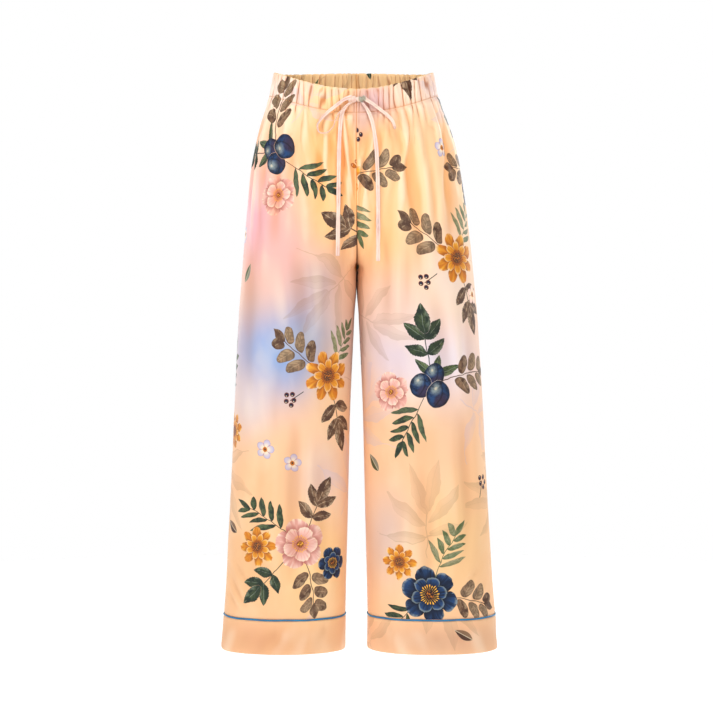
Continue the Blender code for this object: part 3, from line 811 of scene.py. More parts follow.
class Painter:
    """Adds textures, attributes and colour mixes to one node tree."""

    def __init__(self, tree):
        self.tree = tree
        self.shader = tree.nodes.get("Principled BSDF")

    def _node(self, kind, **settings):
        node = self.tree.nodes.new(kind)
        for name, setting in settings.items():
            setattr(node, name, setting)
        return node

    def feed(self, source, target):
        if isinstance(source, Value):
            source = source.socket
        if isinstance(source, bpy.types.NodeSocket):
            self.tree.links.new(source, target)
        elif isinstance(source, tuple) and len(source) == 3 and len(target.default_value) == 4:
            target.default_value = source + (1.0,)
        else:
            target.default_value = source

    def coordinates(self, kind):
        return self._node("ShaderNodeTexCoord").outputs[kind]

    def axes(self, place):
        """The three coordinates of a place."""
        split = self._node("ShaderNodeSeparateXYZ")
        self.tree.links.new(place, split.inputs[0])
        return [Value(self.tree, socket) for socket in split.outputs]

    def map_axes(self, name):
        """The two coordinates of a UV map."""
        return self.axes(self._node("ShaderNodeUVMap", uv_map=name).outputs[0])[:2]

    def attribute(self, name, output="Fac"):
        node = self._node("ShaderNodeAttribute", attribute_name=name)
        return node.outputs[output] if output == "Color" else Value(self.tree, node.outputs[output])

    def place(self, x, y, z=0.0):
        node = self._node("ShaderNodeCombineXYZ")
        for source, target in zip((x, y, z), node.inputs):
            self.feed(source, target)
        return node.outputs[0]

    def noise(self, place, scale, detail=2.0, roughness=0.5):
        node = self._node("ShaderNodeTexNoise")
        self.feed(place, node.inputs["Vector"])
        node.inputs["Scale"].default_value = scale
        node.inputs["Detail"].default_value = detail
        node.inputs["Roughness"].default_value = roughness
        return Value(self.tree, node.outputs[0])

    def mix(self, under, over, share, blend="MIX"):
        node = self._node("ShaderNodeMix", data_type="RGBA", blend_type=blend)
        self.feed(share, node.inputs["Factor"])
        colours = [socket for socket in node.inputs if socket.type == "RGBA"]
        self.feed(under, colours[0])
        self.feed(over, colours[1])
        return next(socket for socket in node.outputs if socket.type == "RGBA")

    def layers(self, under, *layers):
        """Paints colours one over the other, each with its share and way of mixing."""
        for over, share, *blend in layers:
            under = self.mix(under, over, share, *blend)
        return under

    def bump(self, height, distance, strength=1.0):
        node = self._node("ShaderNodeBump")
        node.inputs["Distance"].default_value = distance
        node.inputs["Strength"].default_value = strength
        self.feed(height, node.inputs["Height"])
        self.tree.links.new(node.outputs[0], self.shader.inputs["Normal"])


def new_material(name, roughness, sheen=0.0, specular=0.5):
    material = bpy.data.materials.new(name)
    material.use_nodes = True
    shader = material.node_tree.nodes["Principled BSDF"]
    shader.inputs["Roughness"].default_value = roughness
    shader.inputs["Sheen Weight"].default_value = sheen
    shader.inputs["Sheen Roughness"].default_value = 0.4
    shader.inputs["Specular IOR Level"].default_value = specular
    return material


def polar(p, q):
    """How far a place lies from a motif's middle, and in which direction."""
    radius = (p * p + q * q) ** 0.5
    return radius, q.math("ARCTAN2", p)


# The print's paints; the painted shade of fold valleys, creases and the groove where the thighs
# touch; the painted highlight of crests; and the reverse's paler colour, which is also painted light
# on the casing's shaded inside
INK = colour("12141d")
NAVY = colour("0d1c36")
BLUE = colour("26497a")
CREAM = colour("f6e2bf")
GOLD = colour("efae38")
AMBER = colour("c9741f")
RUST = colour("84401f")
BROWN = colour("4e3529")
TAN = colour("9d7a5c")
PINK = colour("dfa294")
BRICK = colour("ad5d55")
PETAL = colour("f2cdbf")
GREEN = colour("222e26")
MOSS = colour("52603a")
SAGE = colour("7e8a68")
STRAW = colour("cdb48e")
MIST = colour("a7b2a6")
LILAC = colour("bfb4cd")
PLUM = colour("3a2638")
# Painted shade multiplied into fold valleys, near the waist and lower down, and a painted highlight
# mixed onto crests
FOLD_SHADE_TINT = (0.96, 0.74, 0.55)
LOW_FOLD_SHADE_TINT = (0.86, 0.78, 0.74)
CREST_HIGHLIGHT = colour("fde9ce")
# The pale warm colour that the reverse and the casing's turned inside are mixed towards: partly the
# reverse's own paler colour, partly painted light on the shaded inside
PALE_REVERSE_AND_PAINTED_LIGHT = colour("ffdc9c")
PALE_REVERSE_AND_PAINTED_LIGHT_SHARE = 0.55
# Painted shade for the tight creases and for the groove where the thighs touch
CREASE_SHADE_TINT = (0.60, 0.38, 0.28)
GROOVE_SHADE_TINT = (0.20, 0.055, 0.03)


def by_tone(paint, tone, low, high):
    return paint.mix(low, high, tone.step(0.40, 0.60))


def drawn_by_hand(paint, p, q, tone, amount):
    """Coordinates pushed about a little, so that no two motifs come out alike."""
    push_p = paint.noise(paint.place(p, q, tone * 17), 2.1) - 0.5
    push_q = paint.noise(paint.place(q, p, tone * 23 + 4), 2.1) - 0.5
    return p + push_p * amount, q + push_q * amount


Bloom = namedtuple("Bloom", "petals outer_low outer_high inner_low inner_high round dark main "
                            "light rim heart heart_dark heart_light stamens")
ANEMONE_BLOOM = Bloom(3.0, 0.60, 0.92, 0.36, 0.60, 0.50, INK, NAVY, BLUE, MIST, 0.15,
                      INK, AMBER, GOLD)
COSMOS_BLOOM = Bloom(4.0, 0.50, 0.94, 0.32, 0.62, 0.65, RUST, AMBER, GOLD, CREAM, 0.20,
                     BROWN, AMBER, RUST)
ROSE_BLOOM = Bloom(2.5, 0.66, 0.96, 0.42, 0.66, 0.42, BRICK, PINK, PETAL, CREAM, 0.12,
                   RUST, GOLD, GOLD)


def paint_bloom(paint, p, q, tone, bloom):
    """An open flower with two rings of streaked petals, stamens and a seeded heart."""
    p, q = drawn_by_hand(paint, p, q, tone, 0.16)
    radius, angle = polar(p, q)
    lobe = (angle * bloom.petals).cosine().size()
    inner_lobe = (angle * bloom.petals).sine().size()
    way = paint.place(p / radius * 7, q / radius * 7, radius * 1.2 + tone * 9)
    streak = paint.noise(way, 1.0, 4.0, 0.6)
    frayed = (streak - 0.5) * 0.10
    out = radius / (lobe ** bloom.round * (bloom.outer_high - bloom.outer_low)
                    + bloom.outer_low + frayed)
    inner = radius / (inner_lobe ** bloom.round * (bloom.inner_high - bloom.inner_low)
                      + bloom.inner_low + frayed)
    folded = paint.layers(
        bloom.main,
        (bloom.light, inner.step(0.40, 1.0) * streak.step(0.34, 0.58)),
        (bloom.dark, inner_lobe.step(0.40, 0.04) * 0.80),
        (bloom.rim, inner.step(0.84, 0.97) * 0.40))
    beads = (angle * 23).sine()
    ring = (radius - 0.27 - (angle * 9).sine() * 0.018).size()
    threads = beads.step(0.55, 0.85) * radius.step(0.13, 0.15) * radius.step(0.27, 0.25)
    seeds = paint.noise(paint.place(p, q, 0.0), 19.0)
    heart = paint.layers(
        bloom.heart_dark,
        (bloom.heart_light, seeds.step(0.48, 0.60)),
        (bloom.heart_dark, radius.step(bloom.heart * 0.6, bloom.heart) * 0.6))
    return out.step(1.0, 0.975), paint.layers(
        bloom.main,
        (bloom.light, out.step(0.45, 1.0) * streak.step(0.38, 0.66)),
        (bloom.dark, lobe.step(0.45, 0.04) * 0.85),
        (bloom.rim, out.step(0.86, 0.97) * streak.step(0.45, 0.60) * 0.55),
        (bloom.dark, inner.step(1.40, 1.0) * 0.60),
        (folded, inner.step(1.0, 0.97)),
        (bloom.dark, radius.step(0.34, 0.18) * 0.75),
        (bloom.stamens, beads.step(0.0, 0.4) * ring.step(0.045, 0.025)),
        (bloom.stamens, threads * 0.6),
        (heart, radius.step(bloom.heart + 0.015, bloom.heart - 0.015)))


def laid_over(under, over, share):
    """The numbers of one shape, and those of the next where it lies on the first."""
    return [low + (high - low) * share for low, high in zip(under, over)]


BLADE_COLUMNS = "x y turn length width bend"


def blade(p, q, form, swell, notch):
    """One leaf: how far inside its edge a place is, and its own coordinates."""
    turn = math.radians(form.turn)
    east = p - form.x
    north = q - form.y
    along = (north * math.cos(turn) - east * math.sin(turn)) / form.length
    across = east * math.cos(turn) + north * math.sin(turn)
    if form.bend:
        across = across - along * along * form.bend
    held = along.least(1.0).most(0.0)
    half = (held ** swell * math.pi).sine().most(0.0) ** 0.85 * form.width
    if notch:
        half = half * ((along * 9).part() * -notch + 1.0)
    return half - across.size(), along, across / form.width


def blades(p, q, forms, swell, notch=0.0):
    """Several leaves, each later one over those before it."""
    leaf = blade(p, q, forms[0], swell, notch)
    for form in forms[1:]:
        upper = blade(p, q, form, swell, notch)
        leaf = laid_over(leaf, upper, upper[0].step(-0.004, 0.004))
    return leaf


def stem_mask(side, q, half_width, top, edge=0.010, foot=0.02):
    """A stem from the motif's foot up; side is the distance from its middle line."""
    return (half_width - side).step(0.0, edge) * (q + 0.98).step(0.0, foot) * q.step(*top)


BROAD_LEAVES = table(
    BLADE_COLUMNS,
    (0.00, -0.40, 66, 0.66, 0.175, 0.05),
    (0.00, -0.40, -64, 0.64, 0.170, -0.05),
    (0.00, -0.02, 46, 0.72, 0.185, 0.04),
    (0.00, -0.02, -50, 0.70, 0.185, -0.04),
    (0.00, 0.12, -2, 0.82, 0.215, 0.03),
)


def paint_broad(paint, p, q, tone):
    """A stem with five broad toothed leaves, each with its ribs."""
    p, q = drawn_by_hand(paint, p, q, tone, 0.14)
    inside, along, across = blades(p, q, BROAD_LEAVES, 0.80, 0.10)
    leaf = inside.step(0.0, 0.012)
    stem = stem_mask(p.size(), q, 0.018, (0.30, 0.20))
    dark = by_tone(paint, tone, BROWN, GREEN)
    pale = by_tone(paint, tone, CREAM, MIST)
    mottled = paint.noise(paint.place(p, q, tone * 4), 4.5, 4.0, 0.6)
    vein = ((across.size() * -0.34 + along) * 34).sine().step(0.55, 0.95)
    rib = across.size().step(0.050, 0.018)
    face = paint.layers(
        dark,
        (by_tone(paint, tone, TAN, MOSS), mottled.step(0.36, 0.66) * 0.80),
        (dark, across.step(0.06, -0.50) * 0.60),
        (pale, across.step(0.10, 0.80) * mottled.step(0.40, 0.60) * 0.30),
        (dark, vein * 0.55),
        (pale, rib * mottled.step(0.34, 0.60) * 0.42),
        (INK, inside.step(0.030, 0.004) * 0.45))
    return leaf.most(stem), paint.mix(dark, face, leaf)


Fruit = namedtuple("Fruit", "x y radius")
PLUM_FRUITS = (Fruit(-0.02, 0.30, 0.37), Fruit(-0.38, -0.16, 0.38), Fruit(0.27, -0.30, 0.42))
PLUM_LEAVES = table(
    BLADE_COLUMNS,
    (0.02, 0.30, 74, 0.92, 0.17, 0.10),
    (0.02, 0.36, -66, 0.94, 0.18, -0.12),
    (0.02, 0.42, 8, 0.60, 0.15, 0.06),
)


def plum(p, q, form):
    """How far out a place lies on a plum, 1 at its edge, and its own coordinates."""
    east = (p - form.x) / form.radius
    north = (q - form.y) / (form.radius * 1.14)
    return (east * east + north * north) ** 0.5, east, north


def away_from(p, q, x, y):
    """How far a place lies from a point."""
    return ((p - x) ** 2.0 + (q - y) ** 2.0) ** 0.5


def paint_plums(paint, p, q, tone):
    """Three ripe plums with their bloom, hanging from a leafy twig."""
    p, q = drawn_by_hand(paint, p, q, tone, 0.10)
    fruit = plum(p, q, PLUM_FRUITS[0])
    for form in PLUM_FRUITS[1:]:
        upper = plum(p, q, form)
        fruit = laid_over(fruit, upper, upper[0].step(1.01, 0.99))
    away, east, north = fruit
    body = away.step(1.0, 0.96)
    mottled = paint.noise(paint.place(p, q, tone), 5.0, 4.0, 0.65)
    low_side = ((east - 0.45) ** 2.0 + (north + 0.50) ** 2.0).step(0.70, 0.05)
    glow = away_from(east, north, -0.34, 0.36)
    cleft = (east - (1 - north * north) * 0.42 + 0.12).size()
    skin = paint.layers(
        NAVY,
        (BLUE, mottled.step(0.34, 0.62) * 0.75),
        (PLUM, low_side * 0.75),
        (MIST, glow.step(0.62, 0.10) * mottled.step(0.28, 0.60) * 0.62),
        (CREAM, glow.step(0.16, 0.06) * 0.45),
        (INK, cleft.step(0.10, 0.02) * 0.60),
        (INK, away.step(0.66, 0.99) * 0.70))
    inside, along, across = blades(p, q, PLUM_LEAVES, 0.85, 0.06)
    leaf = inside.step(0.0, 0.014)
    vein = ((across.size() * -0.30 + along) * 40).sine().step(0.5, 0.95)
    green = paint.layers(
        GREEN,
        (MOSS, mottled.step(0.36, 0.62)),
        (SAGE, across.step(0.0, 0.7) * 0.50),
        (GREEN, vein * 0.5),
        (MIST, across.size().step(0.07, 0.02) * 0.35))
    stalk = (0.030 - (p - 0.02 + (q - 0.9) * 0.10).size()).step(0.0, 0.02) * q.step(0.62, 0.66)
    stalk = stalk * q.step(1.02, 0.98)
    face = paint.layers(BROWN, (green, leaf), (skin, body))
    return body.most(leaf).most(stalk), face


def pointed_leaf(across, along):
    """The mask and dark rim of a narrow leaf."""
    half = (along.least(1.0) ** 0.85 * math.pi).sine().most(0.0) ** 0.80 * 0.40
    inside = half - across.size()
    return inside.step(0.0, 0.05), inside.step(0.09, 0.02)


def oval_leaf(across, along):
    """The mask and dark rim of an oval leaf."""
    tapered = across / (0.47 - (along - 0.45) * 0.16)
    round_off = ((along - 0.53) / 0.47) ** 2.0 + tapered * tapered
    return round_off.step(1.0, 0.92), round_off.step(0.62, 1.0)


# A spray's bend and slant, its leaves' spacing and stagger, three seeds, how far the lowest
# leaves reach, how much each next one loses and how much they vary, the last leaf's number,
# the leaf at the tip, the stem's half width, the grain, and colours by tone
Spray = namedtuple("Spray", "leaf bend slant pitch stagger seeds reach loss vary least last "
                            "tip_start tip_length tip_swell tip_width stem grain "
                            "dark main pale")
POINTED_SPRAY = Spray(pointed_leaf, 0.24, 0.85, 0.30, 0.46, (3.7, 5.3, 9), 0.66, 0.070, 0.7,
                      0.65, 4.5, 0.40, 0.56, 0.8, 0.100, 0.016, 6.0,
                      (GREEN, MOSS), (MOSS, SAGE), (SAGE, STRAW))
ROUNDED_SPRAY = Spray(oval_leaf, -0.26, 0.45, 0.42, 0.38, (4.3, 6.1, 7), 0.68, 0.085, 0.6,
                      0.70, 3.5, 0.46, 0.52, 0.9, 0.155, 0.018, 5.0,
                      (BROWN, NAVY), (TAN, BLUE), (STRAW, MIST))


def paint_spray(paint, p, q, tone, spray):
    """A curved spray of mottled, veined leaves on both sides of a stem."""
    p, q = drawn_by_hand(paint, p, q, tone, 0.16)
    p = p - (q + 0.95) ** 2.0 * (tone - 0.5) * spray.bend
    side = p.size()
    right = p.above(0.0)
    cell = (q - side * spray.slant + 0.95) / spray.pitch + right * spray.stagger
    number = cell.floor()
    across = cell.part() - 0.5
    by_number, by_side, by_tone_too = spray.seeds
    seeds = paint.place(number * by_number, right * by_side, tone * by_tone_too)
    which = paint.noise(seeds, 1.0, 0.0)
    along = side / ((spray.reach - number * spray.loss) * (which * spray.vary + spray.least))
    leaf, rim = spray.leaf(across, along)
    leaf = leaf * number.step(0.4, 0.6) * number.step(spray.last + 0.1, spray.last - 0.1)
    tip_along = ((q - spray.tip_start) / spray.tip_length).least(1.0).most(0.0)
    tip = (tip_along ** spray.tip_swell * math.pi).sine() * spray.tip_width - side
    stem = stem_mask(side, q, spray.stem, (0.60, 0.50))
    mottled = paint.noise(paint.place(p, q, tone * 4), spray.grain, 4.0, 0.6)
    veins = ((along * 5.0 - across.size() * 3.0) * 2 * math.pi).sine().step(0.45, 0.95)
    rib = across.size().step(0.034, 0.010)
    dark, main, pale = (by_tone(paint, tone, *pair)
                        for pair in (spray.dark, spray.main, spray.pale))
    face = paint.layers(
        dark,
        (main, mottled.step(0.34, 0.64) * 0.75),
        (pale, which.step(0.50, 0.66) * 0.22),
        (dark, which.step(0.47, 0.34) * 0.45),
        (pale, across.step(0.02, 0.34) * mottled.step(0.36, 0.60) * 0.34),
        (dark, veins * 0.40),
        (pale, rib * mottled.step(0.34, 0.60) * 0.42),
        (dark, along.step(0.26, 0.0) * 0.55),
        (dark, rim * 0.45))
    return leaf.most(tip.step(0.0, 0.012)).most(stem), face


def paint_blossom(paint, p, q, tone):
    """A small pale flower with five petals."""
    p, q = drawn_by_hand(paint, p, q, tone, 0.20)
    radius, angle = polar(p, q)
    lobe = (angle * 2.5).cosine().size()
    out = radius / (lobe ** 0.6 * 0.38 + 0.55)
    return out.step(1.0, 0.94), paint.layers(
        CREAM,
        (by_tone(paint, tone, LILAC, PETAL), out.step(0.2, 0.9)),
        (BRICK, lobe.step(0.32, 0.08) * 0.6),
        (TAN, out.step(0.86, 1.0) * 0.6),
        (AMBER, radius.step(0.26, 0.20)),
        (BROWN, radius.step(0.12, 0.08)))


BERRY_PLACES = ((-0.45, 0.35), (0.05, 0.55), (0.50, 0.25), (-0.20, -0.05), (0.30, -0.20))
SHINE_OFFSET = 0.07


def nearest_berry(p, q):
    """How far a place lies from the nearest berry's middle."""
    nearest, *others = [away_from(p, q, x, y) for x, y in BERRY_PLACES]
    for away in others:
        nearest = nearest.least(away)
    return nearest


def paint_berries(paint, p, q, tone):
    """Five berries on fine stalks."""
    stalk = (0.045 - (p + (q + 0.9) * 0.06).size()).step(0.0, 0.02) * q.step(0.30, 0.20)
    nearest = nearest_berry(p, q)
    shine = nearest_berry(p + SHINE_OFFSET, q - SHINE_OFFSET)
    berry = nearest.step(0.225, 0.20)
    face = paint.layers(
        by_tone(paint, tone, AMBER, NAVY),
        (RUST, nearest.step(0.08, 0.20) * 0.7),
        (CREAM, shine.step(0.07, 0.02) * 0.7))
    return berry.most(stalk), paint.mix(GREEN, face, berry)


def paint_leaflet(paint, p, q, tone):
    """One falling leaf."""
    along = ((q + 0.95) / 1.9).least(1.0).most(0.0)
    half = (along ** 0.8 * math.pi).sine().most(0.0) * 0.40
    side = p.size()
    return (half - side).step(0.0, 0.03), paint.layers(
        by_tone(paint, tone, BROWN, MOSS),
        (by_tone(paint, tone, TAN, MIST), p.step(-0.02, 0.05) * 0.55),
        (CREAM, side.step(0.045, 0.015) * 0.6))


FROND_LEAVES = table(
    BLADE_COLUMNS,
    (-0.06, -0.55, 98, 0.74, 0.115, 0.10),
    (0.04, -0.50, -84, 0.78, 0.120, -0.12),
    (-0.02, -0.34, 58, 0.98, 0.125, 0.12),
    (0.03, -0.28, -48, 0.94, 0.130, -0.10),
    (0.00, -0.10, 22, 1.00, 0.120, 0.08),
    (0.02, -0.06, -14, 1.02, 0.130, -0.06),
)


def paint_frond(paint, p, q, tone):
    """A pale spray of long drooping leaves, mostly drawn in lines, in one plain colour."""
    p, q = drawn_by_hand(paint, p, q, tone, 0.26)
    inside, _, across = blades(p, q, FROND_LEAVES, 0.85)
    leaf = inside.step(0.0, 0.010)
    fill = leaf * (across.step(-0.7, 0.6) * 0.35 + 0.30)
    line = inside.size().step(0.014, 0.004) * 0.75
    ribs = (across.size().step(0.10, 0.03) * 0.7).most((across * 9).sine().step(0.7, 1.0) * 0.35)
    stem = stem_mask((p + 0.01).size(), q, 0.016, (0.0, -0.08), 0.012, 0.03)
    return fill.most(line).most(ribs * leaf).most(stem * 0.8), by_tone(paint, tone, TAN, LILAC)


def motif_group(name, painter):
    """A motif's drawing as a node group: local coordinates in, mask and colour out."""
    tree = bpy.data.node_groups.new(name, "ShaderNodeTree")
    for socket in ("p", "q", "tone"):
        tree.interface.new_socket(name=socket, in_out="INPUT", socket_type="NodeSocketFloat")
    tree.interface.new_socket(name="mask", in_out="OUTPUT", socket_type="NodeSocketFloat")
    tree.interface.new_socket(name="face", in_out="OUTPUT", socket_type="NodeSocketColor")
    entry = tree.nodes.new("NodeGroupInput")
    leave = tree.nodes.new("NodeGroupOutput")
    mask, face = painter(Painter(tree), *(Value(tree, entry.outputs[i]) for i in range(3)))
    tree.links.new(mask.socket, leave.inputs["mask"])
    tree.links.new(face, leave.inputs["face"])
    return tree


MOTIF_GROUPS = {kind: motif_group(name, painter) for kind, name, painter in (
    (POINTED, "pointed_leaves", partial(paint_spray, spray=POINTED_SPRAY)),
    (ROUNDED, "rounded_leaves", partial(paint_spray, spray=ROUNDED_SPRAY)),
    (BROAD, "broad_leaves", paint_broad),
    (ANEMONE, "anemone", partial(paint_bloom, bloom=ANEMONE_BLOOM)),
    (COSMOS, "cosmos", partial(paint_bloom, bloom=COSMOS_BLOOM)),
    (ROSE, "rose", partial(paint_bloom, bloom=ROSE_BLOOM)),
    (PLUMS, "plums", paint_plums),
    (BLOSSOM, "blossom", paint_blossom),
    (BERRIES, "berries", paint_berries),
    (LEAFLET, "leaflet", paint_leaflet),
    (FROND, "frond", paint_frond),
)}


def paint_layer(paint, ground, layer, fade):
    """Paints one layer of motifs over the ground."""
    place = paint.map_axes(layer)
    kind = paint.attribute(layer + "_kind")
    tone = paint.attribute(layer + "_tone")
    groups = {key.number: group for key, group in MOTIF_GROUPS.items() if key.layer == layer}
    for number, group in groups.items():
        node = paint.tree.nodes.new("ShaderNodeGroup")
        node.node_tree = group
        for source, target in zip((*place, tone), node.inputs):
            paint.feed(source, target)
        mask = Value(paint.tree, node.outputs["mask"]) * kind.is_near(number) * fade
        ground = paint.mix(ground, node.outputs["face"], mask)
    return ground


def weave_height(paint, u, v):
    """Fine satin floats, longer down the cloth than across it."""
    floats = paint.noise(paint.place(u * 2600, v * 700, 0.0), 1.0, 1.0)
    slub = paint.noise(paint.place(u * 260, v * 30, 3.0), 1.0, 2.0)
    return floats * 0.7 + slub * 0.3


def crease_shade(paint):
    """Painted shade in the tight creases between gathers, finer than the mesh, and along the
    stitched line.
    """
    number, depth = paint.map_axes("gather")
    which = paint.noise(paint.place(number * 0.83, depth * 24, 2.0), 1.0, 1.0)
    valley = (number.part() - 0.5).size().step(0.15, 0.01)
    second = ((number * 2.37 + depth * 6.37 + 0.25).part() - 0.5).size().step(0.13, 0.02)
    casing = depth.step(0.0425, 0.0405) * depth.step(0.0002, 0.0060)
    tucks = depth.step(0.0420, 0.0430) * depth.step(0.0850, 0.0450) * which.step(0.42, 0.62)
    long_folds = depth.step(0.0420, 0.0440) * depth.step(0.1700, 0.0600) * which.step(0.50, 0.66)
    deep = valley * (casing * which.step(0.28, 0.52) + tucks * 0.8 + long_folds * 0.35)
    fine = second * casing * which.step(0.60, 0.42) * 0.5
    stitched = (depth - STITCH_DEPTH).size().step(0.0011, 0.0003) * 0.5
    return deep.most(fine).most(stitched)


def print_material(name, reverse=False, gathered=False):
    """Printed satin with the painted shade and highlight of its folds; its reverse is duller and the
    print shows through it faintly.
    """
    material = new_material(name, 0.60 if reverse else 0.40, 0.04, 0.16 if reverse else 0.24)
    paint = Painter(material.node_tree)
    u, v = paint.map_axes("cloth")
    cloud = paint.noise(paint.place(u * 9, v * 7, 0.0), 1.0, 3.0)
    face = paint.layers(
        paint.attribute("ground", "Color"),
        (CREAM, cloud.step(0.52, 0.72) * 0.22),
        (PINK, cloud.step(0.46, 0.28) * 0.09))
    if reverse:
        # Both the paler colour of a satin's reverse and painted light where it lies in shade
        face = paint.mix(face, PALE_REVERSE_AND_PAINTED_LIGHT, PALE_REVERSE_AND_PAINTED_LIGHT_SHARE)
    else:
        shade = paint.attribute("shade")
        # Painted highlight: the crests of folds are mixed towards a pale warm colour
        face = paint.mix(face, CREST_HIGHLIGHT, shade.step(LEVEL_SHADE, 1.0) * 0.42)
    face = paint_layer(paint, face, "frond", 0.21 if reverse else 0.42)
    for layer in ("leaf", "bloom", "scatter"):
        face = paint_layer(paint, face, layer, 0.35 if reverse else 1.0)
    if not reverse:
        # Painted shade: fold valleys are multiplied by a warm tint, more orange in the gathers near
        # the waist and greyer lower down
        fold_shade_tint = LOW_FOLD_SHADE_TINT
        if gathered:
            depth = paint.map_axes("gather")[1]
            fold_shade_tint = paint.mix(FOLD_SHADE_TINT, LOW_FOLD_SHADE_TINT, depth.step(0.20, 0.42))
        face = paint.mix(face, fold_shade_tint, shade.step(LEVEL_SHADE, 0.0), "MULTIPLY")
    if gathered:
        # Painted shade: the tight creases and the stitched line, and the groove where the thighs
        # touch, are multiplied darker
        face = paint.layers(
            face,
            (CREASE_SHADE_TINT, crease_shade(paint), "MULTIPLY"),
            (GROOVE_SHADE_TINT, paint.attribute("groove"), "MULTIPLY"))
    paint.feed(face, paint.shader.inputs["Base Color"])
    height = weave_height(paint, u, v)
    gloss = height * 0.12 + (0.58 if reverse else 0.45)
    paint.feed(gloss, paint.shader.inputs["Roughness"])
    paint.bump(height, 0.00006, 0.5)
    return material


def trim_material(name, main, shade, roughness, twill):
    """Plain satin of the piping, with its bias twill."""
    material = new_material(name, roughness, 0.10)
    paint = Painter(material.node_tree)
    u, v = paint.map_axes("cloth")
    tone = paint.noise(paint.place(u * 60, v * 60, 1.0), 1.0, 2.0)
    paint.feed(paint.mix(main, shade, tone.step(0.35, 0.70)), paint.shader.inputs["Base Color"])
    diagonal = ((u + v) * twill).sine() * 0.5 + 0.5
    paint.feed(diagonal * 0.08 + roughness, paint.shader.inputs["Roughness"])
    paint.bump(diagonal, 0.00008, 0.6)
    return material


def tie_material(name):
    """The tie's satin: pale blush with a trace of the print, painted shade in its creases and in the
    knot's pinch, and darker lines along its rolled edges and down the middle of each face.
    """
    material = new_material(name, 0.42, 0.05, 0.35)
    paint = Painter(material.node_tree)
    u, v = paint.map_axes("cloth")
    x, _, z = paint.axes(paint.coordinates("Object"))
    patch = paint.noise(paint.place(u * 22, v * 22, 5.0), 1.0, 2.0)
    fleck = paint.noise(paint.place(u * 70, v * 30, 8.0), 1.0, 1.0)
    printed = away_from(x, z, TIE_PRINT.x, TIE_PRINT.z) + fleck * 0.004
    # Painted shade in the pinch between the knot's two lobes
    pinch_shade = (x - 0.0004).size() + ((z + 0.0350) * 0.3).size()
    blush = away_from(x, z, -0.0045, -0.0310)
    # The rumple is both the bump of the tape's creases and the mask of the painted shade in them
    rumple = paint.noise(paint.place(u * 420, v * 60, 2.0), 1.0, 3.0)
    # Darker lines along both rolled edges and down the middle of each face
    edge = ((u / TIE_WIDTH) * 2 * math.pi).cosine().size()
    face = paint.layers(
        colour("eed3c3"),
        (colour("e6c6ba"), patch.step(0.40, 0.60)),
        (colour("d6cbd8"), patch.step(0.62, 0.78) * 0.55),
        (SAGE, fleck.step(0.66, 0.76) * 0.45),
        (colour("8c917f"), printed.step(0.0100, 0.0070) * 0.85),
        ((0.40, 0.24, 0.20), pinch_shade.step(0.0020, 0.0004) * 0.8, "MULTIPLY"),
        (colour("dfa79c"), blush.step(0.0060, 0.0010) * 0.5),
        ((0.80, 0.66, 0.60), rumple.step(0.48, 0.34) * 0.45, "MULTIPLY"),
        ((0.82, 0.68, 0.60), edge.step(0.90, 1.0) * 0.6, "MULTIPLY"))
    paint.feed(face, paint.shader.inputs["Base Color"])
    height = weave_height(paint, u, v)
    paint.feed(height * 0.12 + 0.42, paint.shader.inputs["Roughness"])
    paint.bump(rumple + height * 0.1, 0.00035, 0.6)
    return material


def thread_material(name):
    material = new_material(name, 0.55, 0.2)
    paint = Painter(material.node_tree)
    u, v = paint.map_axes("cloth")
    ply = ((u * 2.0 + v) * 9000).sine() * 0.5 + 0.5
    paint.feed(paint.mix(colour("d9a15f"), colour("f0c68e"), ply),
               paint.shader.inputs["Base Color"])
    paint.bump(ply, 0.00005, 0.6)
    return material


PRINT_SATIN = print_material("print_satin", gathered=True)
BAND_SATIN = print_material("band_satin")
PRINT_REVERSE = print_material("print_satin_reverse", reverse=True)
PIPING_SATIN = trim_material("piping_satin", colour("007aac"), colour("006390"), 0.36, 5200)
TIE_SATIN = tie_material("tie_satin")
THREAD = thread_material("thread")

# ------------------------------------------------------------------ leg panels

COLUMNS_A_GATHER = 10
SEAM_COLUMNS = (0.0016, 0.0040, 0.0070)
FOLD_ROWS = 5
INNER_SHARE = 0.75
FULLNESS = 1.32
SEAM_SHADE, SEAM_SHADE_WIDTH = 0.0050, 0.0009
# Painted shade where the thighs touch: the width of its dark line, and the strength and width of the
# haze beside it
GROOVE_WIDTH, GROOVE_HAZE, GROOVE_HAZE_WIDTH = 0.0011, 0.06, 0.010
LEVEL_HEM = (0.03, 0.22)


def panel_columns():
    """Where a panel's columns lie across it, closer together beside its seams."""
    count = GATHERS_A_PANEL * COLUMNS_A_GATHER
    even = np.arange(count + 1) / count
    extra = np.array(SEAM_COLUMNS)
    return np.unique(np.concatenate([even, extra, 1 - extra]))


def panel_depths():
    """Depths below the waist edge of the rows down the outside."""
    casing = np.arange(0.0014, 0.0385, 0.0022)
    stitched = np.array([0.0392, 0.0402, 0.0411, 0.0420, 0.0430, 0.0442, 0.0458])
    gathered = np.arange(0.0480, 0.1650, 0.0028)
    hips = np.arange(0.1680, WAIST_EDGE_Z - CROTCH_CURVE_TOP_Z, 0.0055)
    turns = np.sin(np.pi / 2 * np.arange(1, 19) / 18)
    crotch = WAIST_EDGE_Z - CROTCH_CURVE_TOP_Z + (CROTCH_CURVE_TOP_Z - CROTCH_Z) * turns
    legs = np.arange(crotch[-1] + 0.006, WAIST_EDGE_Z - PANEL_HEM_Z - 0.050, 0.0075)
    hem = WAIST_EDGE_Z - PANEL_HEM_Z - np.array([0.048, 0.042, 0.036, 0.030, 0.024, 0.018, 0.013,
                                                 0.009, 0.006, 0.0035, 0.0015, 0.0])
    return np.concatenate([casing, stitched, gathered, hips, crotch, legs, hem])


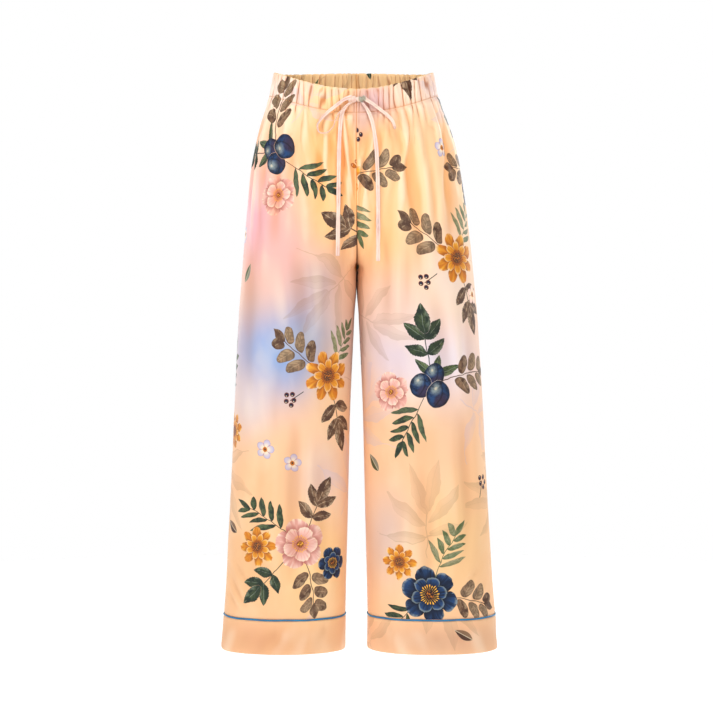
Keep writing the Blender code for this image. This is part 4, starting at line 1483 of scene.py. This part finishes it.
def casing_turn(panel, v):
    """Rows of the casing's inner layer, up to and over its folded top edge."""
    rows = []
    for depth in np.concatenate([np.arange(0.0425, 0.004, -0.0030), [0.0025]]):
        grid, normal, relief, along = cloth_grid(panel, v, np.full_like(v, depth))
        inward = -CASING_WALL + INNER_SHARE * relief
        # The last value drives the painted shade inside: a crest outside is a valley inside
        rows.append((grid + normal * inward[..., None], -depth, along, -0.6 * relief))
    radius = CASING_WALL / 2
    grid, normal, relief, along = cloth_grid(panel, v, np.full_like(v, radius))
    for step in range(1, FOLD_ROWS + 1):
        angle = np.pi * step / (FOLD_ROWS + 1)
        share = (1 - math.cos(angle)) / 2
        out = mix(-CASING_WALL + INNER_SHARE * relief, relief, share)
        place = grid + normal * out[..., None]
        place[..., 2] += radius * math.sin(angle)
        rows.append((place, -radius * (1 - 2 * share), along, relief))
    return rows


def padded(values):
    """A grid's values repeated on the seam allowances along both long edges."""
    return np.pad(values, ((0, 0), (1, 1)), mode="edge")


def build_panel(panel):
    """One leg panel with its casing, as a single sheet from the casing's turned hem."""
    columns = panel_columns()
    depths = panel_depths()
    smooth, normal, relief, along = cloth_grid(panel, *np.meshgrid(columns, depths))
    outer = held_in(panel, smooth + normal * relief[..., None], smooth[..., 2])
    turned = casing_turn(panel, columns[None, :])
    inner = np.concatenate([row[0] for row in turned])
    inner = held_in(panel, inner, inner[..., 2])
    lengths = np.concatenate([row[2] for row in turned] + [along])
    relief = np.concatenate([row[3] for row in turned] + [relief])
    near_seam = np.minimum(lengths - lengths[:, :1], lengths[:, -1:] - lengths)
    relief = relief - SEAM_SHADE * np.exp(-(near_seam / SEAM_SHADE_WIDTH) ** 2)
    side_seam = lengths[:, -1:].copy()
    points, lengths = with_allowances(panel, np.concatenate([inner, outer]), lengths)
    points[..., 0] += lean(points)
    below = np.abs(np.concatenate([[row[1] for row in turned], depths]))[:, None]
    full = mix(FULLNESS, 1.0, smooth_step(*LEVEL_HEM, below))
    sideways = panel.side * panel.facing * (side_seam - lengths) * full
    edge = WAIST_EDGE_Z - edge_levels(panel, columns, np.zeros_like(columns))
    turned_down = edge[None, :] + np.array([row[1] for row in turned])[:, None]
    down = padded(np.concatenate([turned_down, WAIST_EDGE_Z - smooth[..., 2]]))
    number = padded(gather_numbers(panel, columns[None, :], below))
    gather = np.stack([number, np.broadcast_to(below, number.shape)], -1)
    cut = CUTS[panel.name]
    corners = grid_corners(np.stack([sideways + cut.x, cut.y - down], axis=-1))
    faces = grid_faces(*points.shape[:2])
    gather = grid_corners(gather)
    if panel.side * panel.facing > 0:
        faces, corners, gather = faces[:, ::-1], corners[:, ::-1], gather[:, ::-1]
    piece = new_piece(panel.name + "_satin", points, faces, PRINT_SATIN)
    set_corner_map(piece.data, "cloth", corners)
    set_corner_map(piece.data, "gather", gather)
    # The relief, lowered beside the seams, drives the painted shade of valleys and the painted
    # highlight of crests
    set_shade(piece.data, padded(relief))
    # Painted shade where the thighs touch: a dark line down the groove between them with a faint
    # haze beside it
    beside = np.abs(points[..., 0] - lean(points))
    groove = np.exp(-(beside / GROOVE_WIDTH) ** 2)
    groove = groove + GROOVE_HAZE * np.exp(-(beside / GROOVE_HAZE_WIDTH) ** 2)
    set_values(piece.data, "groove", legs_touch(points[..., 2]) * groove)
    ground = ground_colours(panel.facing, points)
    # Painted light: the casing's turned inside lies in the waist's shade and is mixed towards a pale
    # warm colour to look lit
    ground[:len(turned)] = mix(ground[:len(turned)], np.array(PALE_REVERSE_AND_PAINTED_LIGHT), PALE_REVERSE_AND_PAINTED_LIGHT_SHARE)
    set_ground(piece.data, ground)
    place_motifs(piece.data, corners)
    thicken(piece)
    fit(piece, "leg_satin", panel.name)
    return piece


# ------------------------------------------------------------------ hem bands and piping

RING_COLUMNS = 96


def ring_grid(side, z, out):
    """Points round one leg at each level, moved out from the outline, from the inseam.

    With them come the lengths along the unmoved outline.
    """
    rings = []
    lengths = []
    front = next(p for p in PANELS if p.side == side and p.facing < 0)
    back = next(p for p in PANELS if p.side == side and p.facing > 0)
    share = np.arange(RING_COLUMNS + 1) / RING_COLUMNS
    for level, offset in zip(z, out):
        levels = np.full_like(share, level)
        near_out = level_normals(front, share, levels)
        near_out[0], near_out[-1] = (-side, 0, 0), (side, 0, 0)
        points = np.concatenate([smooth_points(front, share, levels, seam=0.0),
                                 smooth_points(back, share[::-1], levels, seam=0.0)[1:-1]])
        outward = np.concatenate([near_out, level_normals(back, share[::-1], levels)[1:-1]])
        steps = np.linalg.norm(np.diff(points, axis=0), axis=1)
        lengths.append(np.concatenate([[0], np.cumsum(steps)]))
        rings.append(points + outward * np.atleast_1d(offset)[:, None])
    return np.array(rings), np.array(lengths)


# How a band lies: down its outside, round its folded hem and up its inside
BAND_FOLD = table(
    "z out",
    (BAND_TOP_Z, -0.0010), (-0.9408, -0.0004), (-0.9418, 0.0001), (-0.9440, 0.0004),
    (-0.9500, 0.0005), (-0.9570, 0.0004), (-0.9640, 0.0003), (-0.9710, 0.0003),
    (-0.9780, 0.0004), (-0.9850, 0.0006), (-0.9910, 0.0008), (-0.9955, 0.0008),
    (-0.9982, 0.0005), (-0.9996, -0.0001), (BAND_HEM_Z, -0.0006), (-0.9996, -0.0011),
    (-0.9980, -0.0015), (-0.9940, -0.0017), (-0.9800, -0.0017), (-0.9600, -0.0017),
    (-0.9420, -0.0017),
)
BAND_INSIDE_ROW = 15
INSIDE_WAVE_SHARE = 0.6
# Dents that the drape leaves in a band: depth, direction round the leg, half width, height
DENT_COLUMNS = "depth turn by_side half_turn z half_height"
DENTS = table(
    DENT_COLUMNS,
    (0.0012, 1.9, 0.2, 0.10, -0.966, 0.016),
    (0.0010, 0.8, 0.0, 0.07, -0.957, 0.012),
)


def build_band(side, name, seed):
    """The doubled band: down its outside, round its folded hem and up its inside."""
    z = np.array([row.z for row in BAND_FOLD])
    out = np.array([row.out for row in BAND_FOLD])
    along = ring_grid(side, z, np.zeros_like(z))[1]
    turn = along / along[:, -1:] * 2 * np.pi
    low = smooth_step(BAND_TOP_Z - 0.004, BAND_TOP_Z - 0.030, z)[:, None]
    wave = (0.0007 * np.sin(5 * turn + seed) * low
            + 0.0004 * np.sin(13 * turn + 2 * seed + z[:, None] * 60) * low)
    pucker = (0.00035 * np.sin(61 * turn + 2 * np.sin(7 * turn + seed))
              * np.exp((z[:, None] - BAND_TOP_Z) / 0.006))
    dent = sum(row.depth * np.exp(-((turn - row.turn - row.by_side * side) / row.half_turn) ** 2
                                  - ((z[:, None] - row.z) / row.half_height) ** 2)
               for row in DENTS)
    inner_side = (np.arange(len(z)) >= BAND_INSIDE_ROW)[:, None]
    moved = out[:, None] + (wave + pucker - dent) * np.where(inner_side, INSIDE_WAVE_SHARE, 1.0)
    points = ring_grid(side, z, moved)[0]
    down = np.concatenate([[0], np.cumsum(np.hypot(np.diff(z), np.diff(out)))])[:, None]
    cut = CUTS[name]
    cloth = np.stack([along * side + cut.x, np.broadcast_to(cut.y - down, along.shape)], -1)
    girth = (along[:, -1:] + np.linalg.norm(points[:, :1] - points[:, -1:], axis=2)) * side
    faces = grid_faces(*points.shape[:2], wrap=True)
    corners = grid_corners(cloth, np.stack([girth, np.zeros_like(girth)], -1))
    if side < 0:
        faces, corners = faces[:, ::-1], corners[:, ::-1]
    piece = new_piece(name + "_satin", points, faces, BAND_SATIN)
    set_corner_map(piece.data, "cloth", corners)
    # The band's relief drives painted shade in its dents and a painted highlight on its swells
    set_shade(piece.data, (moved - out[:, None]) * 2)
    set_ground(piece.data, ground_colours(-1, points))
    place_motifs(piece.data, corners, ("frond", "scatter"))
    thicken(piece)
    fit(piece, "band_satin", name)
    return piece


PIPING_SIDES = 10


def build_piping(side, name, seed):
    """The covered cord between a leg and its band, slightly uneven as sewn."""
    angles = np.pi / 2 - 2 * np.pi * np.arange(PIPING_SIDES)[:, None] / PIPING_SIDES
    along = ring_grid(side, [PIPING_Z], [0.0])[1][0]
    turn = along / along[-1] * 2 * np.pi
    out = PIPING_RADIUS * (np.cos(angles) - 0.15) + 0.00025 * np.sin(23 * turn + seed)
    points = ring_grid(side, [PIPING_Z] * PIPING_SIDES, out)[0]
    points[..., 2] += PIPING_RADIUS * np.sin(angles) + 0.0003 * np.sin(9 * turn + seed)
    columns = points.shape[1]
    faces = grid_faces(PIPING_SIDES + 1, columns, wrap=True) % (PIPING_SIDES * columns)
    around = np.arange(PIPING_SIDES + 1)[:, None] * 2 * np.pi * PIPING_RADIUS / PIPING_SIDES
    cloth = np.stack(np.broadcast_arrays(along[None, :], around), -1)
    corners = grid_corners(cloth, np.array([along[-1] + along[1], 0.0]))
    if side < 0:
        faces, corners = faces[:, ::-1], corners[:, ::-1]
    piece = new_piece(name + "_cord", points, faces, PIPING_SATIN)
    set_corner_map(piece.data, "cloth", corners)
    fit(piece, "piping_satin", name)


# ------------------------------------------------------------------ drawstring

LOOP_WIDTH = 0.0060
TIE_THICKNESS = 0.0012
TIE_SIDES = 14
TIE_STEP = 0.0022
KNOT_CENTRE = Vector((0.0015, -0.0998, -0.0305))
KNOT_DEPTH = 0.0056
KNOT_PINCH = 0.53
# The knot's two lobes: their ends and half heights
Lobe = namedtuple("Lobe", "end half_height")
LEFT_LOBE, RIGHT_LOBE = Lobe(0.0128, 0.0050), Lobe(-0.0152, 0.0060)
# How the tie lies along its length: share of the length, width, turn in degrees, fullness
LIE_COLUMNS = "share wide turn full"
LOOP_RIGHT_LIE = table(
    LIE_COLUMNS,
    (0.00, 1.30, 0, 1.6), (0.05, 1.35, 4, 1.6), (0.11, 1.15, 8, 1.1), (0.25, 1.05, 14, 1.0),
    (0.42, 1.00, 42, 1.0), (0.55, 0.95, 66, 0.9), (0.70, 0.80, 78, 0.7), (1.00, 0.70, 78, 0.7),
)
LOOP_LEFT_LIE = table(
    LIE_COLUMNS,
    (0.00, 1.55, 0, 2.4), (0.05, 1.20, 5, 1.6), (0.12, 1.00, 10, 1.0), (0.36, 0.92, 18, 1.0),
    (0.48, 0.72, 8, 0.9), (0.60, 0.85, 0, 0.9), (1.00, 0.90, 0, 1.0),
)
TAIL_LIE = table(
    LIE_COLUMNS,
    (0.00, 0.50, 0, 1.5), (0.04, 0.62, 8, 1.3), (0.10, 0.96, 4, 1.0), (1.00, 1.00, 0, 1.0),
)

# The routes of the solids' tie: x, z and how far in front of the smooth cloth
RoutePoint = namedtuple("RoutePoint", "x z off")
TAIL_RIGHT_ROUTE = (
    RoutePoint(-0.0060, -0.0339, 0.0050),
    RoutePoint(-0.0185, -0.0435, 0.0058),
    RoutePoint(-0.0258, -0.0590, 0.0063),
    RoutePoint(-0.0291, -0.0968, 0.0069),
    RoutePoint(-0.0303, -0.1367, 0.0064),
    RoutePoint(-0.0310, -0.2000, 0.0055),
    RoutePoint(-0.0325, -0.3000, 0.0045),
)
TAIL_LEFT_ROUTE = (
    RoutePoint(0.0082, -0.0342, 0.0050),
    RoutePoint(0.0190, -0.0490, 0.0058),
    RoutePoint(0.0269, -0.0690, 0.0065),
    RoutePoint(0.0325, -0.1000, 0.0065),
    RoutePoint(0.0355, -0.1376, 0.0060),
    RoutePoint(0.0372, -0.2069, 0.0050),
    RoutePoint(0.0372, -0.3090, 0.0040),
)
LOOP_RIGHT_ROUTE = (
    RoutePoint(-0.0072, -0.0268, 0.0080),
    RoutePoint(-0.0200, -0.0305, 0.0095),
    RoutePoint(-0.0347, -0.0412, 0.0090),
    RoutePoint(-0.0563, -0.0593, 0.0080),
    RoutePoint(-0.0668, -0.0750, 0.0075),
    RoutePoint(-0.0640, -0.0872, 0.0075),
    RoutePoint(-0.0520, -0.0888, 0.0075),
    RoutePoint(-0.0405, -0.0780, 0.0080),
    RoutePoint(-0.0330, -0.0590, 0.0110),
    RoutePoint(-0.0215, -0.0455, 0.0122),
    RoutePoint(-0.0100, -0.0385, 0.0105),
)
LOOP_LEFT_ROUTE = (
    RoutePoint(0.0107, -0.0272, 0.0080),
    RoutePoint(0.0170, -0.0317, 0.0115),
    RoutePoint(0.0288, -0.0394, 0.0162),
    RoutePoint(0.0400, -0.0481, 0.0192),
    RoutePoint(0.0513, -0.0569, 0.0212),
    RoutePoint(0.0598, -0.0648, 0.0223),
    RoutePoint(0.0640, -0.0725, 0.0225),
    RoutePoint(0.0658, -0.0785, 0.0200),
    RoutePoint(0.0666, -0.0810, 0.0140),
    RoutePoint(0.0658, -0.0785, 0.0080),
    RoutePoint(0.0640, -0.0725, 0.0056),
    RoutePoint(0.0590, -0.0645, 0.0056),
    RoutePoint(0.0500, -0.0562, 0.0058),
    RoutePoint(0.0390, -0.0474, 0.0060),
    RoutePoint(0.0280, -0.0388, 0.0058),
    RoutePoint(0.0185, -0.0316, 0.0054),
    RoutePoint(0.0116, -0.0262, 0.0052),
)


def curve_through(points, step):
    """Points about a step apart on a smooth curve through the route's own points."""
    smooth = [points[0]]
    for i in range(len(points) - 1):
        before = points[max(i - 1, 0)]
        start = points[i]
        end = points[i + 1]
        after = points[min(i + 2, len(points) - 1)]
        pieces = max(1, round((end - start).length / step))
        for piece in range(1, pieces + 1):
            t = piece / pieces
            smooth.append(0.5 * (2 * start + (end - before) * t
                                 + (2 * before - 5 * start + 4 * end - after) * t ** 2
                                 + (3 * start - before - 3 * end + after) * t ** 3))
    return smooth


def off_front(route_point):
    """The place in front of the cloth at a route point."""
    side = "left" if route_point.x > 0 else "right"
    width = float(at_level(side, route_point.z))
    across = min(abs(route_point.x) / width, 1)
    depth = float(at_level("front", route_point.z))
    reach = float(reach_at(np.float64(across), np.float64(CROTCH_CURVE_TOP_Z)))
    return Vector((route_point.x, -(depth * reach + route_point.off), route_point.z))


def tie_length(path):
    return sum((b - a).length for a, b in zip(path, path[1:]))


def lie_at(lie, column, share):
    return float(np.interp(share, [row.share for row in lie], [getattr(row, column) for row in lie]))


def new_tube(name, points, cloth, faces, material):
    """A piece from a list of points, each with its place on the cloth."""
    piece = new_piece(name, points, faces, material)
    set_corner_map(piece.data, "cloth", [cloth[i] for face in faces for i in face])
    return piece


def rounded_off(value, power):
    """A sine or cosine made fuller or slimmer, with its sign."""
    return math.copysign(abs(value) ** power, value)


def build_tie(name, route, width, lie, seed, free_end):
    """A flat tube of satin along a route, with rolled edges and a slight twist."""
    path = curve_through([off_front(point) for point in route], TIE_STEP)
    total = tie_length(path)
    points = []
    cloth = []
    done = 0.0
    level = Vector((0, 0, 0))
    for i, place in enumerate(path):
        if i:
            done += (place - path[i - 1]).length
        run = (path[min(i + 1, len(path) - 1)] - path[max(i - 1, 0)]).normalized()
        before = level
        level = run.cross(Vector((0, -1, 0))).normalized()
        if level.dot(before) < 0:
            level = -level
        roll = 0.14 * math.sin(done / 0.034 + seed) + 0.10 * math.sin(done / 0.013 + 2 * seed)
        roll += math.radians(lie_at(lie, "turn", done / total))
        across = Matrix.Rotation(roll, 3, run) @ level
        thick = across.cross(run).normalized()
        narrow = 1 - 0.10 * math.sin(done / 0.021 + 3 * seed) ** 2
        narrow *= lie_at(lie, "wide", done / total)
        swell = lie_at(lie, "full", done / total)
        ripple = thick * (0.0003 * math.sin(done / 0.0024 + seed)
                          + 0.0003 * math.sin(done / 0.0061 + 2 * seed)) * swell
        if free_end:
            to_end = total - done
            narrow *= 1 - 0.10 * math.exp(-to_end / 0.003)
            swell *= 1 + 0.30 * (to_end < 0.009)
        for side in range(TIE_SIDES):
            angle = 2 * math.pi * side / TIE_SIDES
            wide = rounded_off(math.cos(angle), 0.75)
            deep = rounded_off(math.sin(angle), 0.65)
            dip = 1 - 0.12 * math.exp(-(wide / 0.35) ** 2)
            points.append(place + ripple + across * wide * width / 2 * narrow
                          + thick * deep * dip * swell * TIE_THICKNESS / 2)
            cloth.append((side / TIE_SIDES * 2 * TIE_WIDTH, done + seed))
    around = list(range(TIE_SIDES))
    last = len(points) - TIE_SIDES
    faces = np.roll(grid_faces(len(path), TIE_SIDES, wrap=True), -1, axis=1).tolist()
    faces += [around, [last + side for side in reversed(around)]]
    piece = new_tube(name + "_satin", points, cloth, faces, TIE_SATIN)
    fit(piece, "tie_satin", name)
    return piece, path


def build_knot():
    """The knot: two puffed, pleated lobes with a pinch between them."""
    points = []
    cloth = []
    rings, sides = 40, 36
    for ring in range(rings + 1):
        share = ring / rings
        side_share = smooth_step(KNOT_PINCH - 0.10, KNOT_PINCH + 0.12, share)
        pinched = math.exp(-((share - KNOT_PINCH) / 0.065) ** 2)
        spread = math.sin(math.pi * share) ** 0.55 * (1 - 0.30 * pinched)
        height = mix(RIGHT_LOBE.half_height, LEFT_LOBE.half_height, side_share) * spread
        x = mix(RIGHT_LOBE.end, LEFT_LOBE.end, (1 - math.cos(math.pi * share)) / 2)
        for side in range(sides):
            turn = 2 * math.pi * side / sides
            pleat = 1 + (0.05 + 0.06 * pinched) * math.cos(9 * turn + 2 * share) * spread
            points.append(Vector((x, KNOT_CENTRE.y + KNOT_DEPTH * spread * pleat * math.cos(turn),
                                  KNOT_CENTRE.z + height * pleat * math.sin(turn))))
            cloth.append((0.012 * share, 0.006 * turn))
    faces = grid_faces(rings + 1, sides, wrap=True).tolist()
    piece = new_tube("tie_knot_satin", points, cloth, faces, TIE_SATIN)
    fit(piece, "tie_satin", "tie_knot")
    return piece


# ------------------------------------------------------------------ stitches

STITCH_LENGTH = 0.0021
STITCH_PITCH = 0.0031
STITCH_RADIUS = 0.00022
STITCH_RINGS = ((-0.5, 0.15), (-0.38, 0.85), (0.0, 1.0), (0.38, 0.85), (0.5, 0.15))
STITCH_SIDES = 6


def stitch_ends(panel):
    """Both ends of each stitch of the casing's stitch line, outside and inside."""
    v = np.linspace(0, 1, 1201)[None, :]
    grid, normal, relief, _ = cloth_grid(panel, v, np.full_like(v, STITCH_DEPTH))
    outer = relief + 0.6 * STITCH_RADIUS
    inner = INNER_SHARE * relief - CASING_WALL - 0.4 * STITCH_RADIUS
    for out in (outer, inner):
        row = (grid + normal * out[..., None])[0]
        steps = np.linalg.norm(np.diff(row, axis=0), axis=1)
        length = np.concatenate([[0], np.cumsum(steps)])
        for middle in np.arange(STITCH_PITCH * 0.6, length[-1] - STITCH_PITCH * 0.5, STITCH_PITCH):
            yield [Vector([np.interp(middle + half, length, row[:, k]) for k in range(3)])
                   for half in (-STITCH_LENGTH / 2, STITCH_LENGTH / 2)]


def build_stitches():
    """The casing's whole stitch line, each stitch a short bead of thread."""
    points = []
    faces = []
    cloth = []
    around = list(range(STITCH_SIDES))
    bead = grid_faces(len(STITCH_RINGS), STITCH_SIDES, wrap=True)
    for start, end in (ends for panel in PANELS for ends in stitch_ends(panel)):
        run = (end - start).normalized()
        up = run.cross(Vector((0, 0, 1))).cross(run).normalized()
        out = run.cross(up).normalized()
        first = len(points)
        for along, swell in STITCH_RINGS:
            middle = (start + end) / 2 + run * along * STITCH_LENGTH
            for side in around:
                angle = 2 * math.pi * side / STITCH_SIDES
                points.append(middle + (up * math.cos(angle) + out * math.sin(angle))
                              * STITCH_RADIUS * swell)
                cloth.append((STITCH_RADIUS * angle, (along + 0.5) * STITCH_LENGTH))
        last = len(points) - STITCH_SIDES
        faces += (bead + first).tolist()
        faces += [[first + side for side in around], [last + side for side in reversed(around)]]
    piece = new_tube("casing_stitches", points, cloth, faces, THREAD)
    fit(piece, "leg_satin")


# ------------------------------------------------------------------ stage, light, camera

CAMERA_PLACE = Vector((0.0, -3.994, -0.270))
CAMERA_TARGET = Vector((0.0, 0.0, -0.4797))
CAMERA_LENS = 113.6
FLOOR_Z = -1.280
FLOOR_REACH = 3.2
FLOOR_GLOW = 0.50


def aim(thing, target):
    thing.rotation_euler = (target - thing.location).to_track_quat("-Z", "Y").to_euler()


def build_camera():
    data = bpy.data.cameras.new("camera")
    data.lens = CAMERA_LENS
    camera = bpy.data.objects.new("camera", data)
    camera.location = CAMERA_PLACE
    bpy.context.scene.collection.objects.link(camera)
    aim(camera, CAMERA_TARGET)
    bpy.context.scene.camera = camera


def build_floor():
    """A round pale floor, some way below the hanging garment."""
    sides = 96
    turns = [2 * math.pi * side / sides for side in range(sides)]
    ring = [(FLOOR_REACH * math.cos(turn), FLOOR_REACH * math.sin(turn), FLOOR_Z) for turn in turns]
    material = new_material("pale_floor", 0.9, 0.0, 0.1)
    paint = Painter(material.node_tree)
    speckle = paint.noise(paint.coordinates("Object"), 30.0)
    paint.feed(paint.mix(colour("fcfbf9"), colour("f6f5f2"), speckle.step(0.4, 0.6)),
               paint.shader.inputs["Base Color"])
    paint.shader.inputs["Emission Color"].default_value = (1.0, 1.0, 1.0, 1.0)
    paint.shader.inputs["Emission Strength"].default_value = FLOOR_GLOW
    floor = new_piece("floor", ring, [list(range(sides))], material, smooth=False)


Lamp = namedtuple("Lamp", "name place target size power")
LAMPS = (
    Lamp("key", Vector((-2.8, -2.4, 0.7)), Vector((0, 0, -0.42)), 0.9, 39.5),
    Lamp("fill", Vector((1.7, -3.3, 1.1)), Vector((0, 0, -0.35)), 1.0, 31.0),
    Lamp("top", Vector((-0.2, -1.5, 1.9)), Vector((0, 0, -0.05)), 1.0, 29.0),
    Lamp("back_key", Vector((2.5, 2.4, 0.8)), Vector((0, 0, -0.45)), 1.0, 52.0),
    Lamp("back_fill", Vector((-2.2, 2.8, 0.0)), Vector((0, 0, -0.5)), 1.2, 18.0),
)
HORIZON_GLOW = 1.0
SKY_GLOW = 0.19


def build_light():
    """The studio's lamps, and a world that is brighter near the horizon."""
    for lamp in LAMPS:
        data = bpy.data.lights.new(lamp.name, "AREA")
        data.size = lamp.size
        data.energy = lamp.power
        light = bpy.data.objects.new(lamp.name, data)
        light.location = lamp.place
        bpy.context.scene.collection.objects.link(light)
        aim(light, lamp.target)
    world = bpy.data.worlds.new("studio")
    world.use_nodes = True
    paint = Painter(world.node_tree)
    rise = paint.axes(paint.coordinates("Generated"))[2]
    glow = rise.step(0.26, 0.13) * (HORIZON_GLOW - SKY_GLOW) + SKY_GLOW
    background = world.node_tree.nodes["Background"]
    paint.feed(glow, background.inputs["Strength"])
    background.inputs["Color"].default_value = (1.0, 1.0, 1.0, 1.0)
    bpy.context.scene.world = world
    bpy.context.scene.view_settings.view_transform = "Standard"


# ------------------------------------------------------------------ the whole garment

Tie = namedtuple("Tie", "name route width lie seed far_end")
TIES = (
    Tie("tie_loop_right", LOOP_RIGHT_ROUTE, LOOP_WIDTH, LOOP_RIGHT_LIE, 0.4, "object"),
    Tie("tie_loop_left", LOOP_LEFT_ROUTE, LOOP_WIDTH, LOOP_LEFT_LIE, 1.7, "object"),
    Tie("tie_tail_right", TAIL_RIGHT_ROUTE, TIE_WIDTH, TAIL_LIE, 2.6, "bare"),
    Tie("tie_tail_left", TAIL_LEFT_ROUTE, TIE_WIDTH, TAIL_LIE, 3.8, "bare"),
)
Cloth = namedtuple("Cloth", "flat area")

build_camera()
built = [(tie, *build_tie(tie.name, tie.route, tie.width, tie.lie, tie.seed,
                          tie.far_end == "bare")) for tie in TIES]
knot = build_knot()
for tie, piece, path in built[2:] + built[:2]:
    tuple(path[0])
    tie_length(path)
    [tuple(point) for point in path]
for panel in PANELS:
    build_panel(panel)
for side, label, seed in ((-1, "right", 0.6), (1, "left", 2.2)):
    build_band(side, "hem_band_" + label, seed)
    build_piping(side, "piping_" + label, seed)
build_stitches()
build_floor()
build_light()
